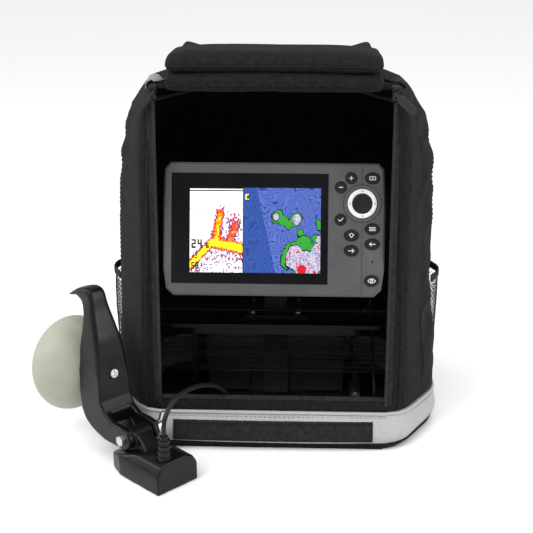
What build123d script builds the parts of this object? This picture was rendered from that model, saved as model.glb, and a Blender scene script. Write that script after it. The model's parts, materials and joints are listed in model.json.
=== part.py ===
from build123d import *

import os
from math import cos, pi, radians, sin, tan

# A portable fish finder in its carry bag.  Millimetres, +X right, -Y front, +Z up.
# The origin is the centre of the bag's underside, on the surface it stands on.

os.makedirs("parts", exist_ok=True)

# ---- Driving dimensions ------------------------------------------------------------------
WALL = 4.0                 # padded bag wall
FLOOR = 6.0                # bag floor panel
BAND_TOP = 36.0            # top of the light band round the foot of the bag
BAG_TOP = 334.0
SIDE_SEAM_Y = -30.0        # where the bag is widest
OPENING_HALF = 106.0       # half width of the front opening
LIP_TOP = 49.0             # front wall left standing below the opening
OPENING_TOP = 330.0
FRONT_SLOPE = 0.0528       # the front leans back this much per unit of height
BACK_PANEL_Y = 60.0

HEAD_CENTRE = (0, -80, 206)   # centre of the display's front face
HEAD_LEAN = 16.0              # degrees the display leans back
HEAD_HALF_W = 98.5
HEAD_HALF_H = 59.0
BEZEL_PLATE = 3.5
BEZEL_DEPTH = 14.0
SEAL = 1.0
REAR_FLANGE = 3.0
HEAD_DEPTH = 50.0
TILT_DEPTH, TILT_HEIGHT = 60.0, 4.0   # tilt axis in the display's own frame

SONAR_PLACE = (-79.7, -173.7, 0)      # middle of the transducer's blunt end
SONAR_TURN = 46.5                     # degrees about Z
PIVOT_Y, PIVOT_Z = 54.0, 32.0         # arm pivot in the transducer's frame
CUP_Y, CUP_Z = 86.5, 80.5             # where the cup's axis meets the arm's face
CUP_DROOP = 8.0                       # degrees the cup's axis points down
CUP_RADIUS = 44.5
CUP_RIM = 64.0                        # from the arm's face to the rim
SCREW_SEAT = 1.0                      # how deep the cup's screw is let into the arm

CABLE_D = 4.2
CABLE_LENGTH = 1830.0
COIL_CENTRE = (45.0, -60.0)
COIL_MEAN = 23.0
COIL_TURNS_WIDE = 3
COIL_FLOOR = FLOOR + 1.2

SHELF_Z = 92.0             # underside of the shuttle's shelf
TRAY_TOP = FLOOR + 3.0
TRAY_X = 84.0
LEG_X = 76.0               # inner face of the shuttle's legs
LEG_T = 6.0


def front_y(z):
    """Where the bag's sloping front is at a height."""
    return -95.0 + FRONT_SLOPE * (z - BAND_TOP)


# Height, front y, half width at the front, half width at the side seam, back y, half width at the back.
BAG_LEVELS = (
    (0.0, -99.0, 112.0, 152.0, 80.0, 110.0),
    (14.0, -101.0, 120.0, 162.0, 88.0, 118.0),
    (36.0, front_y(36.0), 118.0, 158.0, 88.0, 118.0),
    (110.0, front_y(110.0), 117.5, 149.0, 88.0, 118.0),
    (200.0, front_y(200.0), 117.0, 147.0, 88.0, 117.0),
    (265.0, front_y(265.0), 117.0, 144.0, 86.0, 115.0),
    (300.0, front_y(300.0), 115.0, 136.0, 76.0, 108.0),
    (320.0, front_y(320.0), 112.0, 124.0, 58.0, 100.0),
    (BAG_TOP, -74.0, 104.0, 112.0, 34.0, 90.0),
)


# ---- Helpers -----------------------------------------------------------------------------
WALL_CORNERS = (12, 30)    # corner radii at the front and at the side seam
FOOT_CORNERS = (32, 52)


def block(x0, x1, y0, y1, z0, z1):
    """A box between two corners."""
    size = (x1 - x0, y1 - y0, z1 - z0)
    middle = ((x0 + x1) / 2, (y0 + y1) / 2, (z0 + z1) / 2)
    return Pos(*middle) * Box(*size)


def profile(points, x0, x1):
    """A side outline of (y, z) points, made solid from x0 to x1."""
    outline = make_face(Polyline(*[(0, y, z) for y, z in points], close=True))
    return Pos(x0, 0, 0) * extrude(outline, amount=x1 - x0, dir=(1, 0, 0))


def plate(sketch, front, back):
    """A sketch drawn on the display's face, made solid between two depths behind it."""
    plane = Plane(origin=(0, back, 0), x_dir=(1, 0, 0), z_dir=(0, -1, 0))
    return extrude(plane * sketch, amount=back - front)


def rod(radius, start, end):
    """A round bar from one point to another."""
    axis = Vector(*end) - Vector(*start)
    plane = Plane(origin=start, z_dir=axis)
    return extrude(plane * Circle(radius), amount=axis.length)


def front_strip(x0, x1, z0, z1, near, far):
    """A strip in front of the bag's sloping front, between two distances out from it."""
    corners = [
        (front_y(z0) - near, z0),
        (front_y(z0) - far, z0),
        (front_y(z1) - far, z1),
        (front_y(z1) - near, z1),
    ]
    return profile(corners, x0, x1)


def mirrored(shape):
    """The same shape on the other side of the bag."""
    return mirror(shape, about=Plane.YZ)


def save(name, *shapes):
    solids = [solid for shape in shapes for solid in shape.solids()]
    part = solids[0] if len(solids) == 1 else Compound(solids)
    export_step(part, f"parts/{name}.step")


# ---- Carry bag ---------------------------------------------------------------------------
def bag_level(z, front, front_half, side_half, back, back_half, seam_y):
    """One horizontal outline of the bag, a hexagon with rounded corners."""
    corners = [
        (-front_half, front, z),
        (front_half, front, z),
        (side_half, seam_y, z),
        (back_half, back, z),
        (-back_half, back, z),
        (-side_half, seam_y, z),
    ]
    near, seam = FOOT_CORNERS if z <= BAND_TOP else WALL_CORNERS
    outline = FilletPolyline(*corners, radius=[near, near, seam, 20, 20, seam], close=True)
    return make_face(outline)


def bag_block(grow=0.0, side_half=None, seam_y=SIDE_SEAM_Y):
    """The whole bag as one solid, grown or shrunk all round."""
    levels = []
    for z, front, front_half, seam_half, back, back_half in BAG_LEVELS:
        half = seam_half if side_half is None else side_half
        levels.append(bag_level(z, front - grow, front_half + grow, half + grow,
                                back + grow, back_half + grow, seam_y))
    return loft(levels, ruled=True)


def bag_shell(outer):
    """The bag's walls with the front opening cut out."""
    room = bag_block(-WALL) & block(-200, 200, -150, 150, FLOOR, BAG_TOP - WALL)
    opening = block(-OPENING_HALF, OPENING_HALF, -130, -50, LIP_TOP, OPENING_TOP)
    return outer - room - opening


def bag_panels(shell):
    """The sewn panels: floor, band, back, top, sides and the lip below the opening."""
    upper = block(-200, 200, -150, 150, BAND_TOP, BAG_TOP)
    back = block(-200, 200, BACK_PANEL_Y, 150, BAND_TOP, BAG_TOP)
    top = block(-OPENING_HALF, OPENING_HALF, -150, BACK_PANEL_Y, 250, BAG_TOP)
    lip = block(-OPENING_HALF, OPENING_HALF, -150, 0, BAND_TOP, LIP_TOP)
    sides = (shell & upper) - back - top - lip
    save("base_panel", shell & block(-200, 200, -150, 150, 0, FLOOR))
    save("base_band", shell & block(-200, 200, -150, 150, FLOOR, BAND_TOP))
    save("back_panel", shell & back)
    save("top_panel", shell & top)
    save("front_lip", shell & lip)
    save("side_panels", sides)


def mesh_pockets(outer):
    """Stretch pockets on the sides, each with an elastic binding round its mouth."""
    half, seam_y, cloth, bottom, top, binding = 160.0, 0.0, 1.8, 38.0, 138.0, 8.0
    skin = bag_block(0, half, seam_y) - outer
    room = bag_block(-cloth, half, seam_y)
    region = block(100, 200, -60, 80, bottom, top)
    wall = (skin - room) & region
    foot = (skin & room) & block(100, 200, -60, 80, bottom, bottom + cloth)
    rim = (skin - room) & block(100, 200, -60, 80, top, top + binding)
    pocket = wall + foot
    biggest = max(pocket.solids(), key=lambda solid: solid.volume)
    rim_solid = max(rim.solids(), key=lambda solid: solid.volume)
    save("mesh_pockets", biggest, mirrored(biggest))
    save("pocket_binding", rim_solid, mirrored(rim_solid))


def bag_trim(outer):
    """Hook-and-loop strip on the band, straps and handle on the back."""
    strip = bag_block(1.6) & block(-92, 92, -150, -50, 9, 28)
    save("loop_strip", strip - outer)

    strap_out = [(76, 304), (100, 268), (112, 200), (108, 130), (94, 96)]
    strap_in = [(84, 90), (97, 128), (100, 200), (89, 262), (62, 300)]
    pad = profile(strap_out + strap_in, 38, 92) - outer
    webbing = profile([(90, 76), (93, 76), (90.5, 42), (88, 42)], 52, 78) - outer
    save("shoulder_straps", pad, mirrored(pad), webbing, mirrored(webbing))
    buckle = block(49, 81, 88.5, 98, 76, 90) - block(53, 77, 91, 95, 75, 91)
    save("strap_buckles", buckle, mirrored(buckle))

    arch = extrude(make_face(Polyline((-60, 0, 312), (-60, 0, 336), (-48, 0, 345), (48, 0, 345),
                                      (60, 0, 336), (60, 0, 312), close=True)), amount=70, both=True)
    gap = extrude(make_face(Polyline((-52, 0, 304), (-52, 0, 333), (-45, 0, 340), (45, 0, 340),
                                     (52, 0, 333), (52, 0, 304), close=True)), amount=70, both=True)
    upright = block(-60, 60, 42, 64, 300, 345)
    save("grab_handle", (arch & upright) - gap - outer)


def zips():
    """Zip halves down both sides of the opening, with their sliders and pull tabs."""
    track = front_strip(102, 109, LIP_TOP - 9, BAG_TOP, 0, 1.4)
    save("zip_tracks", track, mirrored(track))

    low, high = 322.0, 334.0
    front = front_strip(100.2, 106, low, high, 1.7, 4.0)
    back = front_strip(100.2, 105.6, low, high, -2.2, -0.3)
    web = front_strip(100.2, 101.6, low, high, -2.2, 4.0)
    y, z, s = -86.8, 328.0, sin(radians(45))
    bar_reach = 2.6
    bar = rod(0.9, (103.2 - bar_reach * s, y, z - bar_reach * s), (103.2 + bar_reach * s, y, z + bar_reach * s))
    posts = [
        rod(0.9, (103.2 + side * bar_reach * s, -83.0, z + side * bar_reach * s),
            (103.2 + side * bar_reach * s, y - 0.9, z + side * bar_reach * s))
        for side in (-1, 1)
    ]
    slider = front + back + web + bar + posts[0] + posts[1]
    save("zip_slider_right", slider)
    save("zip_slider_left", mirrored(slider))

    # The tab hangs down and outward across the border, and swings about the slider's bar.
    tab_plane = Plane(origin=(103.2, y, z), x_dir=(s, 0, -s), z_dir=(0, -1, 0))
    eye = extrude(tab_plane * Rectangle(5.2, 2.4), amount=1.9, both=True)
    leaf = extrude(tab_plane * (Pos(13, 0) * RectangleRounded(21, 7, 3)), amount=0.8, both=True)
    hole = rod(1.0, (103.2 - 4 * s, y, z - 4 * s), (103.2 + 4 * s, y, z + 4 * s))
    pull = eye + leaf - hole
    save("zip_pull_right", pull)
    save("zip_pull_left", mirrored(pull))


def front_flap():
    """The front panel, rolled up and folded on top of the bag."""
    lower = fillet(block(-93, 93, -93, -28, 334.6, 346.8).edges(), 5)
    upper = fillet(block(-93, 93, -88, -24, 348.8, 362).edges(), 5.5)
    end = fillet(block(-87, 87, -21, 23, 336, 356).edges(), 6)
    save("flap_lower_fold", lower)
    save("flap_upper_folds", upper, end)
    save("flap_hook_strip", block(-90, 90, -76, -57, 346.9, 348.5))


# ---- Shuttle, battery and charging socket ------------------------------------------------
def shuttle():
    """The moulded frame inside: tray, two legs with flared gussets, and a shelf."""
    tray = block(-TRAY_X, TRAY_X, -28, 76, FLOOR, TRAY_TOP)
    rim = block(-TRAY_X, TRAY_X, -28, 76, TRAY_TOP, TRAY_TOP + 5)
    rim -= block(-TRAY_X + 2, TRAY_X - 2, -26, 74, TRAY_TOP, TRAY_TOP + 5)

    leg = block(LEG_X, LEG_X + LEG_T, -15, 56, TRAY_TOP, SHELF_Z)
    flare = block(LEG_X + LEG_T, 100, 20, 56, SHELF_Z - 18, SHELF_Z)
    flare -= Pos(100, 38, SHELF_Z - 18) * Rot(90, 0, 0) * Cylinder(17.5, 60)
    shelf = block(-100, 100, -32, 56, SHELF_Z, SHELF_Z + 4)
    cable_notch = block(86, 101, -9, 17, SHELF_Z - 1, SHELF_Z + 5)
    front_rib = block(-LEG_X, LEG_X, -32, -29, SHELF_Z - 6, SHELF_Z)
    frame = tray + rim + shelf + leg + mirrored(leg) + flare + mirrored(flare) + front_rib
    frame = frame - cable_notch + socket_housing()
    for x in (-22, 22):
        for y in (-10, 26):
            frame -= Pos(x, y, SHELF_Z + 2) * Cylinder(2.1, 6)
    save("shuttle_frame", frame)


def battery():
    """Sealed battery with raised side panels, a lid, blade terminals and a strap."""
    bottom, lid, top = TRAY_TOP, 58.0, 75.0
    case = block(-68, 68, 7.5, 66, bottom, lid)
    for side in (-1, 1):
        case += fillet(block(min(side * 26, side * 67), max(side * 26, side * 67), 4.5, 7.5, bottom + 2, lid - 1)
                       .edges().filter_by(Axis.Y), 3)
    cover = fillet(block(-69.5, 69.5, 4.5, 67, lid, top).edges().filter_by(Axis.Z), 3)
    for x in (-55, 55):
        case += block(x - 3.2, x + 3.2, 56, 56.8, lid, top + 6.5)
        cover -= block(x - 3.4, x + 3.4, 55.8, 57, lid - 1, top + 1)
    save("battery_case", case)
    save("battery_lid", cover)
    strap = block(-12, 12, 3.1, 68.4, bottom, top + 1.5) - block(-13, 13, 4.5, 67, bottom - 1, top)
    save("battery_strap", strap - block(-13, 13, 4, 67, bottom, top))


CHARGE_X, CHARGE_Z = 78.4, 21.0


def socket_housing():
    """Small housing for the charging inlet, moulded with the tray in front of the right leg."""
    housing = block(72.5, 83.8, -25.5, -15, TRAY_TOP, 30)
    return housing - rod(5.05, (CHARGE_X, -26, CHARGE_Z), (CHARGE_X, -16.8, CHARGE_Z))


def charge_socket():
    """Charging inlet, a round barrel that faces the opening."""
    barrel = rod(5.0, (CHARGE_X, -27.5, CHARGE_Z), (CHARGE_X, -17, CHARGE_Z))
    save("charge_socket", barrel - rod(3.2, (CHARGE_X, -28, CHARGE_Z), (CHARGE_X, -18.5, CHARGE_Z)))


# ---- Display head ------------------------------------------------------------------------
HEAD = Location(HEAD_CENTRE, (-HEAD_LEAN, 0, 0))


def in_head(*point):
    """A point of the display's own frame, in the bag's frame."""
    return (HEAD * Location(point)).position


def head_outline(inset=0.0):
    """The display's outline: clipped corners and sides that bow out a little."""
    right = [(92, 59), (97, 53.5), (HEAD_HALF_W, 20), (98, -35), (95.5, -53), (89, -59)]
    points = right + [(-x, z) for x, z in reversed(right)]
    face = make_face(Polyline(*points, close=True))
    return offset(face, -inset, kind=Kind.INTERSECTION) if inset else face


ROUND_KEY = (5.0, 5.0)
OVAL_KEY = (6.4, 4.9)
KEYS = {
    "key_plus": (67.9, 46.0, ROUND_KEY),
    "key_minus": (58.9, 37.9, ROUND_KEY),
    "key_check": (59.0, 9.3, ROUND_KEY),
    "key_view": (86.6, 46.0, OVAL_KEY),
    "key_menu": (87.0, 1.4, OVAL_KEY),
    "key_exit": (87.0, -12.0, OVAL_KEY),
    "key_mark": (68.7, -4.5, OVAL_KEY),
    "key_goto": (68.7, -17.9, OVAL_KEY),
    "key_power": (87.0, -44.4, OVAL_KEY),
}
NAV = (77.9, 23.7)
NAV_WELL, NAV_HOLE, NAV_RING, NAV_CENTRE = 16.45, 13.6, 13.0, 8.7
NAV_PIVOT_DEPTH = 5.0
KEY_GAP = 0.25
FLANGE = 0.7
BOSS = (91.4, 50.3)
LENS = (-90.7, 47.9, -48.1, 49.5)
LCD = (-84.2, 41.7, -38.7, 37.2)


def rectangle(x0, x1, z0, z1, grow=0.0):
    size = (x1 - x0 + 2 * grow, z1 - z0 + 2 * grow)
    return Pos((x0 + x1) / 2, (z0 + z1) / 2) * Rectangle(*size)


def oval(x, z, size, grow=0.0):
    return Pos(x, z) * Ellipse(size[0] + grow, size[1] + grow)


def bezel():
    """Front bezel: plate, skirt, screw bosses, lens recess, key holes and a groove."""
    body = plate(head_outline(), 0, BEZEL_DEPTH)
    body = chamfer(body.faces().sort_by(Axis.Y)[0].edges(), 1.6)
    body -= plate(head_outline(3), BEZEL_PLATE, BEZEL_DEPTH + 1)
    for x in (-BOSS[0], BOSS[0]):
        for z in (-BOSS[1], BOSS[1]):
            boss = plate(Pos(x, z) * Circle(3.4), BEZEL_PLATE, BEZEL_DEPTH)
            body += boss & plate(head_outline(0.5), 0, BEZEL_DEPTH)
            body -= plate(Pos(x, z) * Circle(1.25), 6, BEZEL_DEPTH + 1)
    body -= plate(rectangle(*LENS, 0.2), -1, 1.3)
    body -= plate(rectangle(*LCD, 0.3), 0, BEZEL_PLATE + 1)
    body += plate(Pos(*NAV) * Circle(NAV_WELL), -0.6, BEZEL_PLATE)
    body -= plate(Pos(*NAV) * Circle(NAV_HOLE), -1, BEZEL_PLATE + 1)
    for x, z, size in KEYS.values():
        body -= plate(oval(x, z, size, KEY_GAP), -1, BEZEL_PLATE + 1)
        body -= plate(oval(x, z, size, FLANGE + 0.4), BEZEL_PLATE, BEZEL_DEPTH - 5)
    groove = rectangle(NAV[0] - 0.3, NAV[0] + 0.3, -60, 60)
    body -= plate(groove, -1, 0.5)
    return body


def keypad():
    """Nine keys with hidden flanges, and the rocking four-way pad."""
    for name, (x, z, size) in KEYS.items():
        cap = chamfer(plate(oval(x, z, size), -1.4, 3.9).faces().sort_by(Axis.Y)[0].edges(), 0.6)
        flange = plate(oval(x, z, size, FLANGE), 3.8, 4.8)
        save(name, (HEAD * (cap + flange)))
    ring = chamfer(plate(Pos(*NAV) * Circle(NAV_RING), -1.4, 2.4).faces().sort_by(Axis.Y)[0].edges(), 0.8)
    ring -= plate(Pos(*NAV) * Circle(NAV_CENTRE), -2, -0.9)
    save("nav_ring", HEAD * ring)
    ball = Pos(NAV[0], NAV_PIVOT_DEPTH, NAV[1]) * Sphere(2.2)
    save("nav_pivot", HEAD * ball)


def rear_housing():
    """Rear shell with its flange, screw holes, socket holes and tilt lugs."""
    start = BEZEL_DEPTH + SEAL
    wall = 2.5
    flange = plate(head_outline(0.8), start, start + REAR_FLANGE)

    def tub(inset, back):
        near = Plane(origin=(0, start, 0), x_dir=(1, 0, 0), z_dir=(0, -1, 0))
        far = Plane(origin=(0, back, 0), x_dir=(1, 0, 0), z_dir=(0, -1, 0))
        wide = near * RectangleRounded(2 * (87.5 - inset), 2 * (53 - inset), 9)
        narrow = far * RectangleRounded(2 * (84 - inset), 2 * (46 - inset), 9)
        return loft([wide, narrow], ruled=True)

    body = flange + tub(0, HEAD_DEPTH) - tub(wall, HEAD_DEPTH - wall)
    lug_sketch = [(HEAD_DEPTH - 0.5, -7), (TILT_DEPTH, TILT_HEIGHT - 9), (TILT_DEPTH, TILT_HEIGHT + 9),
                  (HEAD_DEPTH - 0.5, 16)]
    for side in (-1, 1):
        x0, x1 = sorted((side * 14, side * 20))
        body += profile(lug_sketch, x0, x1)
        body += rod(9, (x0, TILT_DEPTH, TILT_HEIGHT), (x1, TILT_DEPTH, TILT_HEIGHT))
    body -= rod(3.1, (-30, TILT_DEPTH, TILT_HEIGHT), (30, TILT_DEPTH, TILT_HEIGHT))
    for x in (-BOSS[0], BOSS[0]):
        for z in (-BOSS[1], BOSS[1]):
            body -= plate(Pos(x, z) * Circle(1.4), start - 1, start + REAR_FLANGE + 1)
    for x in SOCKET_X:
        body -= plate(Pos(x, TILT_HEIGHT) * Circle(7.05), HEAD_DEPTH - 5, HEAD_DEPTH + 1)
    return body


SOCKET_X = (40.0, 57.0, 76.0)


def head_inside():
    """Lens, screen module, circuit board, seal and screws."""
    save("screen_lens", HEAD * plate(rectangle(*LENS), 0.1, 1.28))
    save("lcd_module", HEAD * plate(rectangle(*LCD), 1.33, 9))
    board = plate(Rectangle(168, 92), 11, 12.6)
    save("main_board", HEAD * board)
    seal = plate(head_outline(0.8), BEZEL_DEPTH, BEZEL_DEPTH + SEAL)
    seal -= plate(head_outline(2.9), BEZEL_DEPTH - 1, BEZEL_DEPTH + SEAL + 1)
    save("housing_seal", HEAD * seal)
    back = BEZEL_DEPTH + SEAL + REAR_FLANGE
    screws = []
    for x in (-BOSS[0], BOSS[0]):
        for z in (-BOSS[1], BOSS[1]):
            shank = plate(Pos(x, z) * Circle(1.2), 7, back)
            screws.append(HEAD * (shank + plate(Pos(x, z) * Circle(2.4), back, back + 1.8)))
    save("housing_screws", *screws)


def rear_connectors():
    """Three sockets in the back of the display, with the sonar cable's plug in the last."""
    sockets = []
    for x in SOCKET_X:
        socket = plate(Pos(x, TILT_HEIGHT) * Circle(7), HEAD_DEPTH - 4.5, HEAD_DEPTH + 2.5)
        socket -= plate(Pos(x, TILT_HEIGHT) * Circle(5.5), HEAD_DEPTH - 3.5, HEAD_DEPTH + 3)
        sockets.append(HEAD * socket)
    save("rear_sockets", *sockets)
    x = SOCKET_X[-1]
    plug = plate(Pos(x, TILT_HEIGHT) * Circle(5.4), HEAD_DEPTH - 3, HEAD_DEPTH + 3)
    plug += plate(Pos(x, TILT_HEIGHT) * Circle(6.6), HEAD_DEPTH + 2.7, TILT_DEPTH - 3)
    plug += plate(Pos(x, TILT_HEIGHT) * Circle(3.6), TILT_DEPTH - 3, TILT_DEPTH - 1)
    save("cable_plug", HEAD * plug)


def tilt_mount():
    """Pedestal with its knuckle, the tilt bolt and the clamping knob."""
    axis = in_head(0, TILT_DEPTH, TILT_HEIGHT)
    y, z = axis.Y, axis.Z
    base_z = SHELF_Z + 4
    stem = [(y - 6, z), (y + 8, z + 2), (30, base_z + 10), (34, base_z + 4), (34, base_z),
            (-16, base_z), (-16, base_z + 4), (-8, base_z + 8)]
    pedestal = profile(stem, -11, 11)
    pedestal += block(-30, 30, -18, 34, base_z, base_z + 4)
    pedestal += rod(9, (-13.6, y, z), (13.6, y, z))
    pedestal -= rod(3.1, (-20, y, z), (20, y, z))
    screws = []
    for x in (-22, 22):
        for sy in (-10, 26):
            pedestal -= Pos(x, sy, base_z + 2) * Cylinder(2.1, 6)
            screws.append(rod(2, (x, sy, SHELF_Z - 3), (x, sy, base_z + 4))
                          + rod(3.8, (x, sy, base_z + 4), (x, sy, base_z + 6.2)))
    save("mount_bracket", pedestal)
    save("bracket_screws", *screws)

    bolt = rod(3.0, (-23, y, z), (36, y, z)) + rod(5.0, (-23.5, y, z), (-20.05, y, z))
    save("tilt_bolt", bolt)
    knob = rod(9, (20.3, y, z), (32, y, z))
    for turn in range(8):
        angle = 2 * pi * turn / 8
        centre = (y + 10.3 * cos(angle), z + 10.3 * sin(angle))
        knob -= rod(2.6, (20, *centre), (33, *centre))
    knob -= rod(3.05, (20, y, z), (33, y, z))
    save("tilt_knob", knob)


# ---- Transducer, arm and suction cup -----------------------------------------------------
SONAR = Location(SONAR_PLACE, (0, 0, SONAR_TURN))
BOOT_X, BOOT_Y, BOOT_TOP = -7.0, 9.0, 49.0
PRONG_IN, PRONG_OUT = 11.5, 17.5


def transducer():
    """Puck with a blunt end and a rounded nose, its neck, and the pivot barrel."""
    half, length = 23.2, 80.0
    plan = make_face(Polyline((-22.6, 0), (22.6, 0), (half, 30), (half, 52), (18, 68), (9, 78), (0, length),
                              (-9, 78), (-18, 68), (-half, 52), (-half, 30), close=True))
    body = extrude(plan, amount=40)
    side = [(0, 0), (0, 28), (20, 28), (40, 24), (54, 19.5), (70, 14.5), (78, 9.5), (80, 6), (80, 2), (78, 0)]
    body &= profile(side, -30, 30)
    section = Plane(origin=(0, -1, 0), x_dir=(1, 0, 0), z_dir=(0, -1, 0))
    outline = make_face(Polyline((-23, 0), (23, 0), (half + 0.6, 8), (22, 18), (18, 24.5), (10, 28), (-10, 28),
                                 (-18, 24.5), (-22, 18), (-half - 0.6, 8), close=True))
    body &= extrude(section * outline, amount=-90)
    foot = Plane.XY.offset(14) * (Pos(0, 40) * Rectangle(23, 50))
    crown = Plane.XY.offset(36) * (Pos(0, 52) * Rectangle(15, 14))
    body += loft([foot, crown], ruled=True)
    body += rod(8.8, (-PRONG_IN + 0.3, PIVOT_Y, PIVOT_Z), (PRONG_IN - 0.3, PIVOT_Y, PIVOT_Z))
    body -= rod(3.1, (-40, PIVOT_Y, PIVOT_Z), (40, PIVOT_Y, PIVOT_Z))
    body -= Pos(BOOT_X, BOOT_Y, 22 + 15) * Cylinder(6.3, 30)
    save("transducer_body", SONAR * body)

    boot = Pos(0, 0, 22) * extrude(Circle(6.2), amount=BOOT_TOP - 22, taper=5.5)
    for rib in range(4):
        boot += Pos(0, 0, 28 + 5 * rib) * extrude(Circle(6.2 - 0.35 * rib), amount=2.4)
    save("strain_relief", SONAR * (Pos(BOOT_X, BOOT_Y, 0) * boot))


def mount_arm():
    """Curved arm with a finger hook on top, hollow behind, forked round the barrel."""
    front = [(46, 41.5), (58, 43), (70, 43), (79, 48.5), (85, 57), (86, 75), (87.5, 95), (91, 112), (96, 127),
             (100, 138), (103, 150)]
    hook = [(106, 156), (114, 157), (126, 153.5), (139, 145), (139, 143), (126, 146.5), (118, 143), (114.5, 134)]
    back = [(114, 120), (116, 100), (115.5, 60), (114, 43), (108, 33), (97, 26.5), (83, 22.5), (70, 21.7),
            (58, 22.4), (47, 26)]
    body = profile(front + hook + back, -PRONG_OUT, PRONG_OUT)
    for side in (-1, 1):
        x0, x1 = sorted((side * PRONG_IN, side * PRONG_OUT))
        body += rod(9.8, (x0, PIVOT_Y, PIVOT_Z), (x1, PIVOT_Y, PIVOT_Z))
    right = [(17.5, 10), (17.5, 62), (16.8, 85), (15, 107), (12, 127), (9.5, 142), (8.5, 160)]
    face = make_face(Polyline(*(right + [(-x, z) for x, z in reversed(right)]), close=True))
    body &= plate(face, 20, 150)
    fork = profile([(30, 10), (30, 56), (70, 56), (76, 53), (78, 48), (78, 36), (72, 29), (64, 27), (64, 10)],
                   -PRONG_IN, PRONG_IN)
    hollow = profile([(92, 52), (92, 100), (96, 112), (125, 112), (125, 52)], -10.5, 10.5)
    body -= fork
    body -= hollow
    body -= rod(3.05, (-30, PIVOT_Y, PIVOT_Z), (30, PIVOT_Y, PIVOT_Z))
    tip = cup_point(20)
    body -= rod(2.1, (0, *cup_point(-5)), (0, *tip))
    body -= rod(4.3, (0, *cup_point(-8)), (0, *cup_point(SCREW_SEAT)))
    save("mount_arm", SONAR * body)


def cup_point(distance, out=0.0):
    """(y, z) of a point along the cup's axis, or out from it, in the transducer's frame."""
    droop = radians(CUP_DROOP)
    y = CUP_Y + distance * cos(droop) + out * sin(droop)
    z = CUP_Z - distance * sin(droop) + out * cos(droop)
    return (y, z)


def suction_cup():
    """Soft cup turned about its axis, with a stem for the screw."""
    outside = [(9, 7.4), (9, 32), (15, 34), (28, 41), (38, 51), (43.5, 60), (CUP_RADIUS, CUP_RIM)]
    inside = [(CUP_RADIUS - 2, CUP_RIM), (38, 58), (30, 52), (16, 47), (0, 45)]
    bore = [(0, 26), (2.15, 26), (2.15, 7.4)]
    outline = make_face(Polyline(*[(r, 0, d) for r, d in bore + outside + inside], close=True))
    cup = revolve(outline, axis=Axis.Z)
    droop = radians(CUP_DROOP)
    aim = Plane(origin=(0, CUP_Y, CUP_Z), x_dir=(1, 0, 0), z_dir=(0, cos(droop), -sin(droop))).location
    save("suction_cup", SONAR * aim * cup)
    head = rod(4.0, (0, *cup_point(SCREW_SEAT - 2.6)), (0, *cup_point(SCREW_SEAT)))
    shank = rod(2.05, (0, *cup_point(SCREW_SEAT - 1)), (0, *cup_point(22)))
    cross = aim * Pos(0, 0, SCREW_SEAT - 2.6) * (Box(5.4, 1, 2.4) + Box(1, 5.4, 2.4))
    save("cup_screw", SONAR * (head + shank - cross))


def pivot_bolt():
    """Hexagon bolt through the fork and barrel, and its wing nut."""
    shank = rod(3.0, (-PRONG_OUT - 0.1, PIVOT_Y, PIVOT_Z), (27, PIVOT_Y, PIVOT_Z))
    hexagon = Plane(origin=(-PRONG_OUT - 3.6, PIVOT_Y, PIVOT_Z), z_dir=(1, 0, 0)) * RegularPolygon(5.0, 6)
    save("pivot_bolt", SONAR * (shank + extrude(hexagon, amount=3.5)))
    nut = rod(5.6, (PRONG_OUT + 0.3, PIVOT_Y, PIVOT_Z), (25, PIVOT_Y, PIVOT_Z))
    wing = [(4.5, 24.3), (11.5, 26.5), (12.2, 31), (8.5, 31), (4, 27), (0, 25)]
    for side in (-1, 1):
        outline = make_face(Polyline(*[(x, PIVOT_Y, PIVOT_Z + side * r) for r, x in wing], close=True))
        nut += extrude(outline, amount=1.2, both=True, dir=(0, 1, 0))
    nut += rod(5.6, (24, PIVOT_Y, PIVOT_Z), (25.5, PIVOT_Y, PIVOT_Z))
    nut -= rod(3.05, (PRONG_OUT, PIVOT_Y, PIVOT_Z), (35, PIVOT_Y, PIVOT_Z))
    save("wing_nut", SONAR * nut)


# ---- Sonar cable -------------------------------------------------------------------------
def tube(points):
    """A round cable along straight runs joined by the largest arcs that fit."""
    corners = [Vector(*point) for point in points]
    radii = []
    for before, here, after in zip(corners, corners[1:], corners[2:]):
        turn = (here - before).get_angle(after - here)
        shorter = min((here - before).length, (after - here).length)
        radii.append(0.45 * shorter / tan(radians(turn / 2)))
    path = FilletPolyline(*corners, radius=radii)
    start = Plane(origin=corners[0], z_dir=corners[1] - corners[0])
    solid = sweep(start * Circle(CABLE_D / 2), path=path)
    print("radii", [round(radius) for radius in radii])
    print("turns", [round((b - a).get_angle(c - b)) for a, b, c in zip(corners, corners[1:], corners[2:])])
    print("length", round(path.length), "volume ratio", round(solid.volume / (pi * CABLE_D**2 / 4 * path.length), 4))
    return solid


def boot_exit():
    return (SONAR * Location((BOOT_X, BOOT_Y, BOOT_TOP))).position


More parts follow.
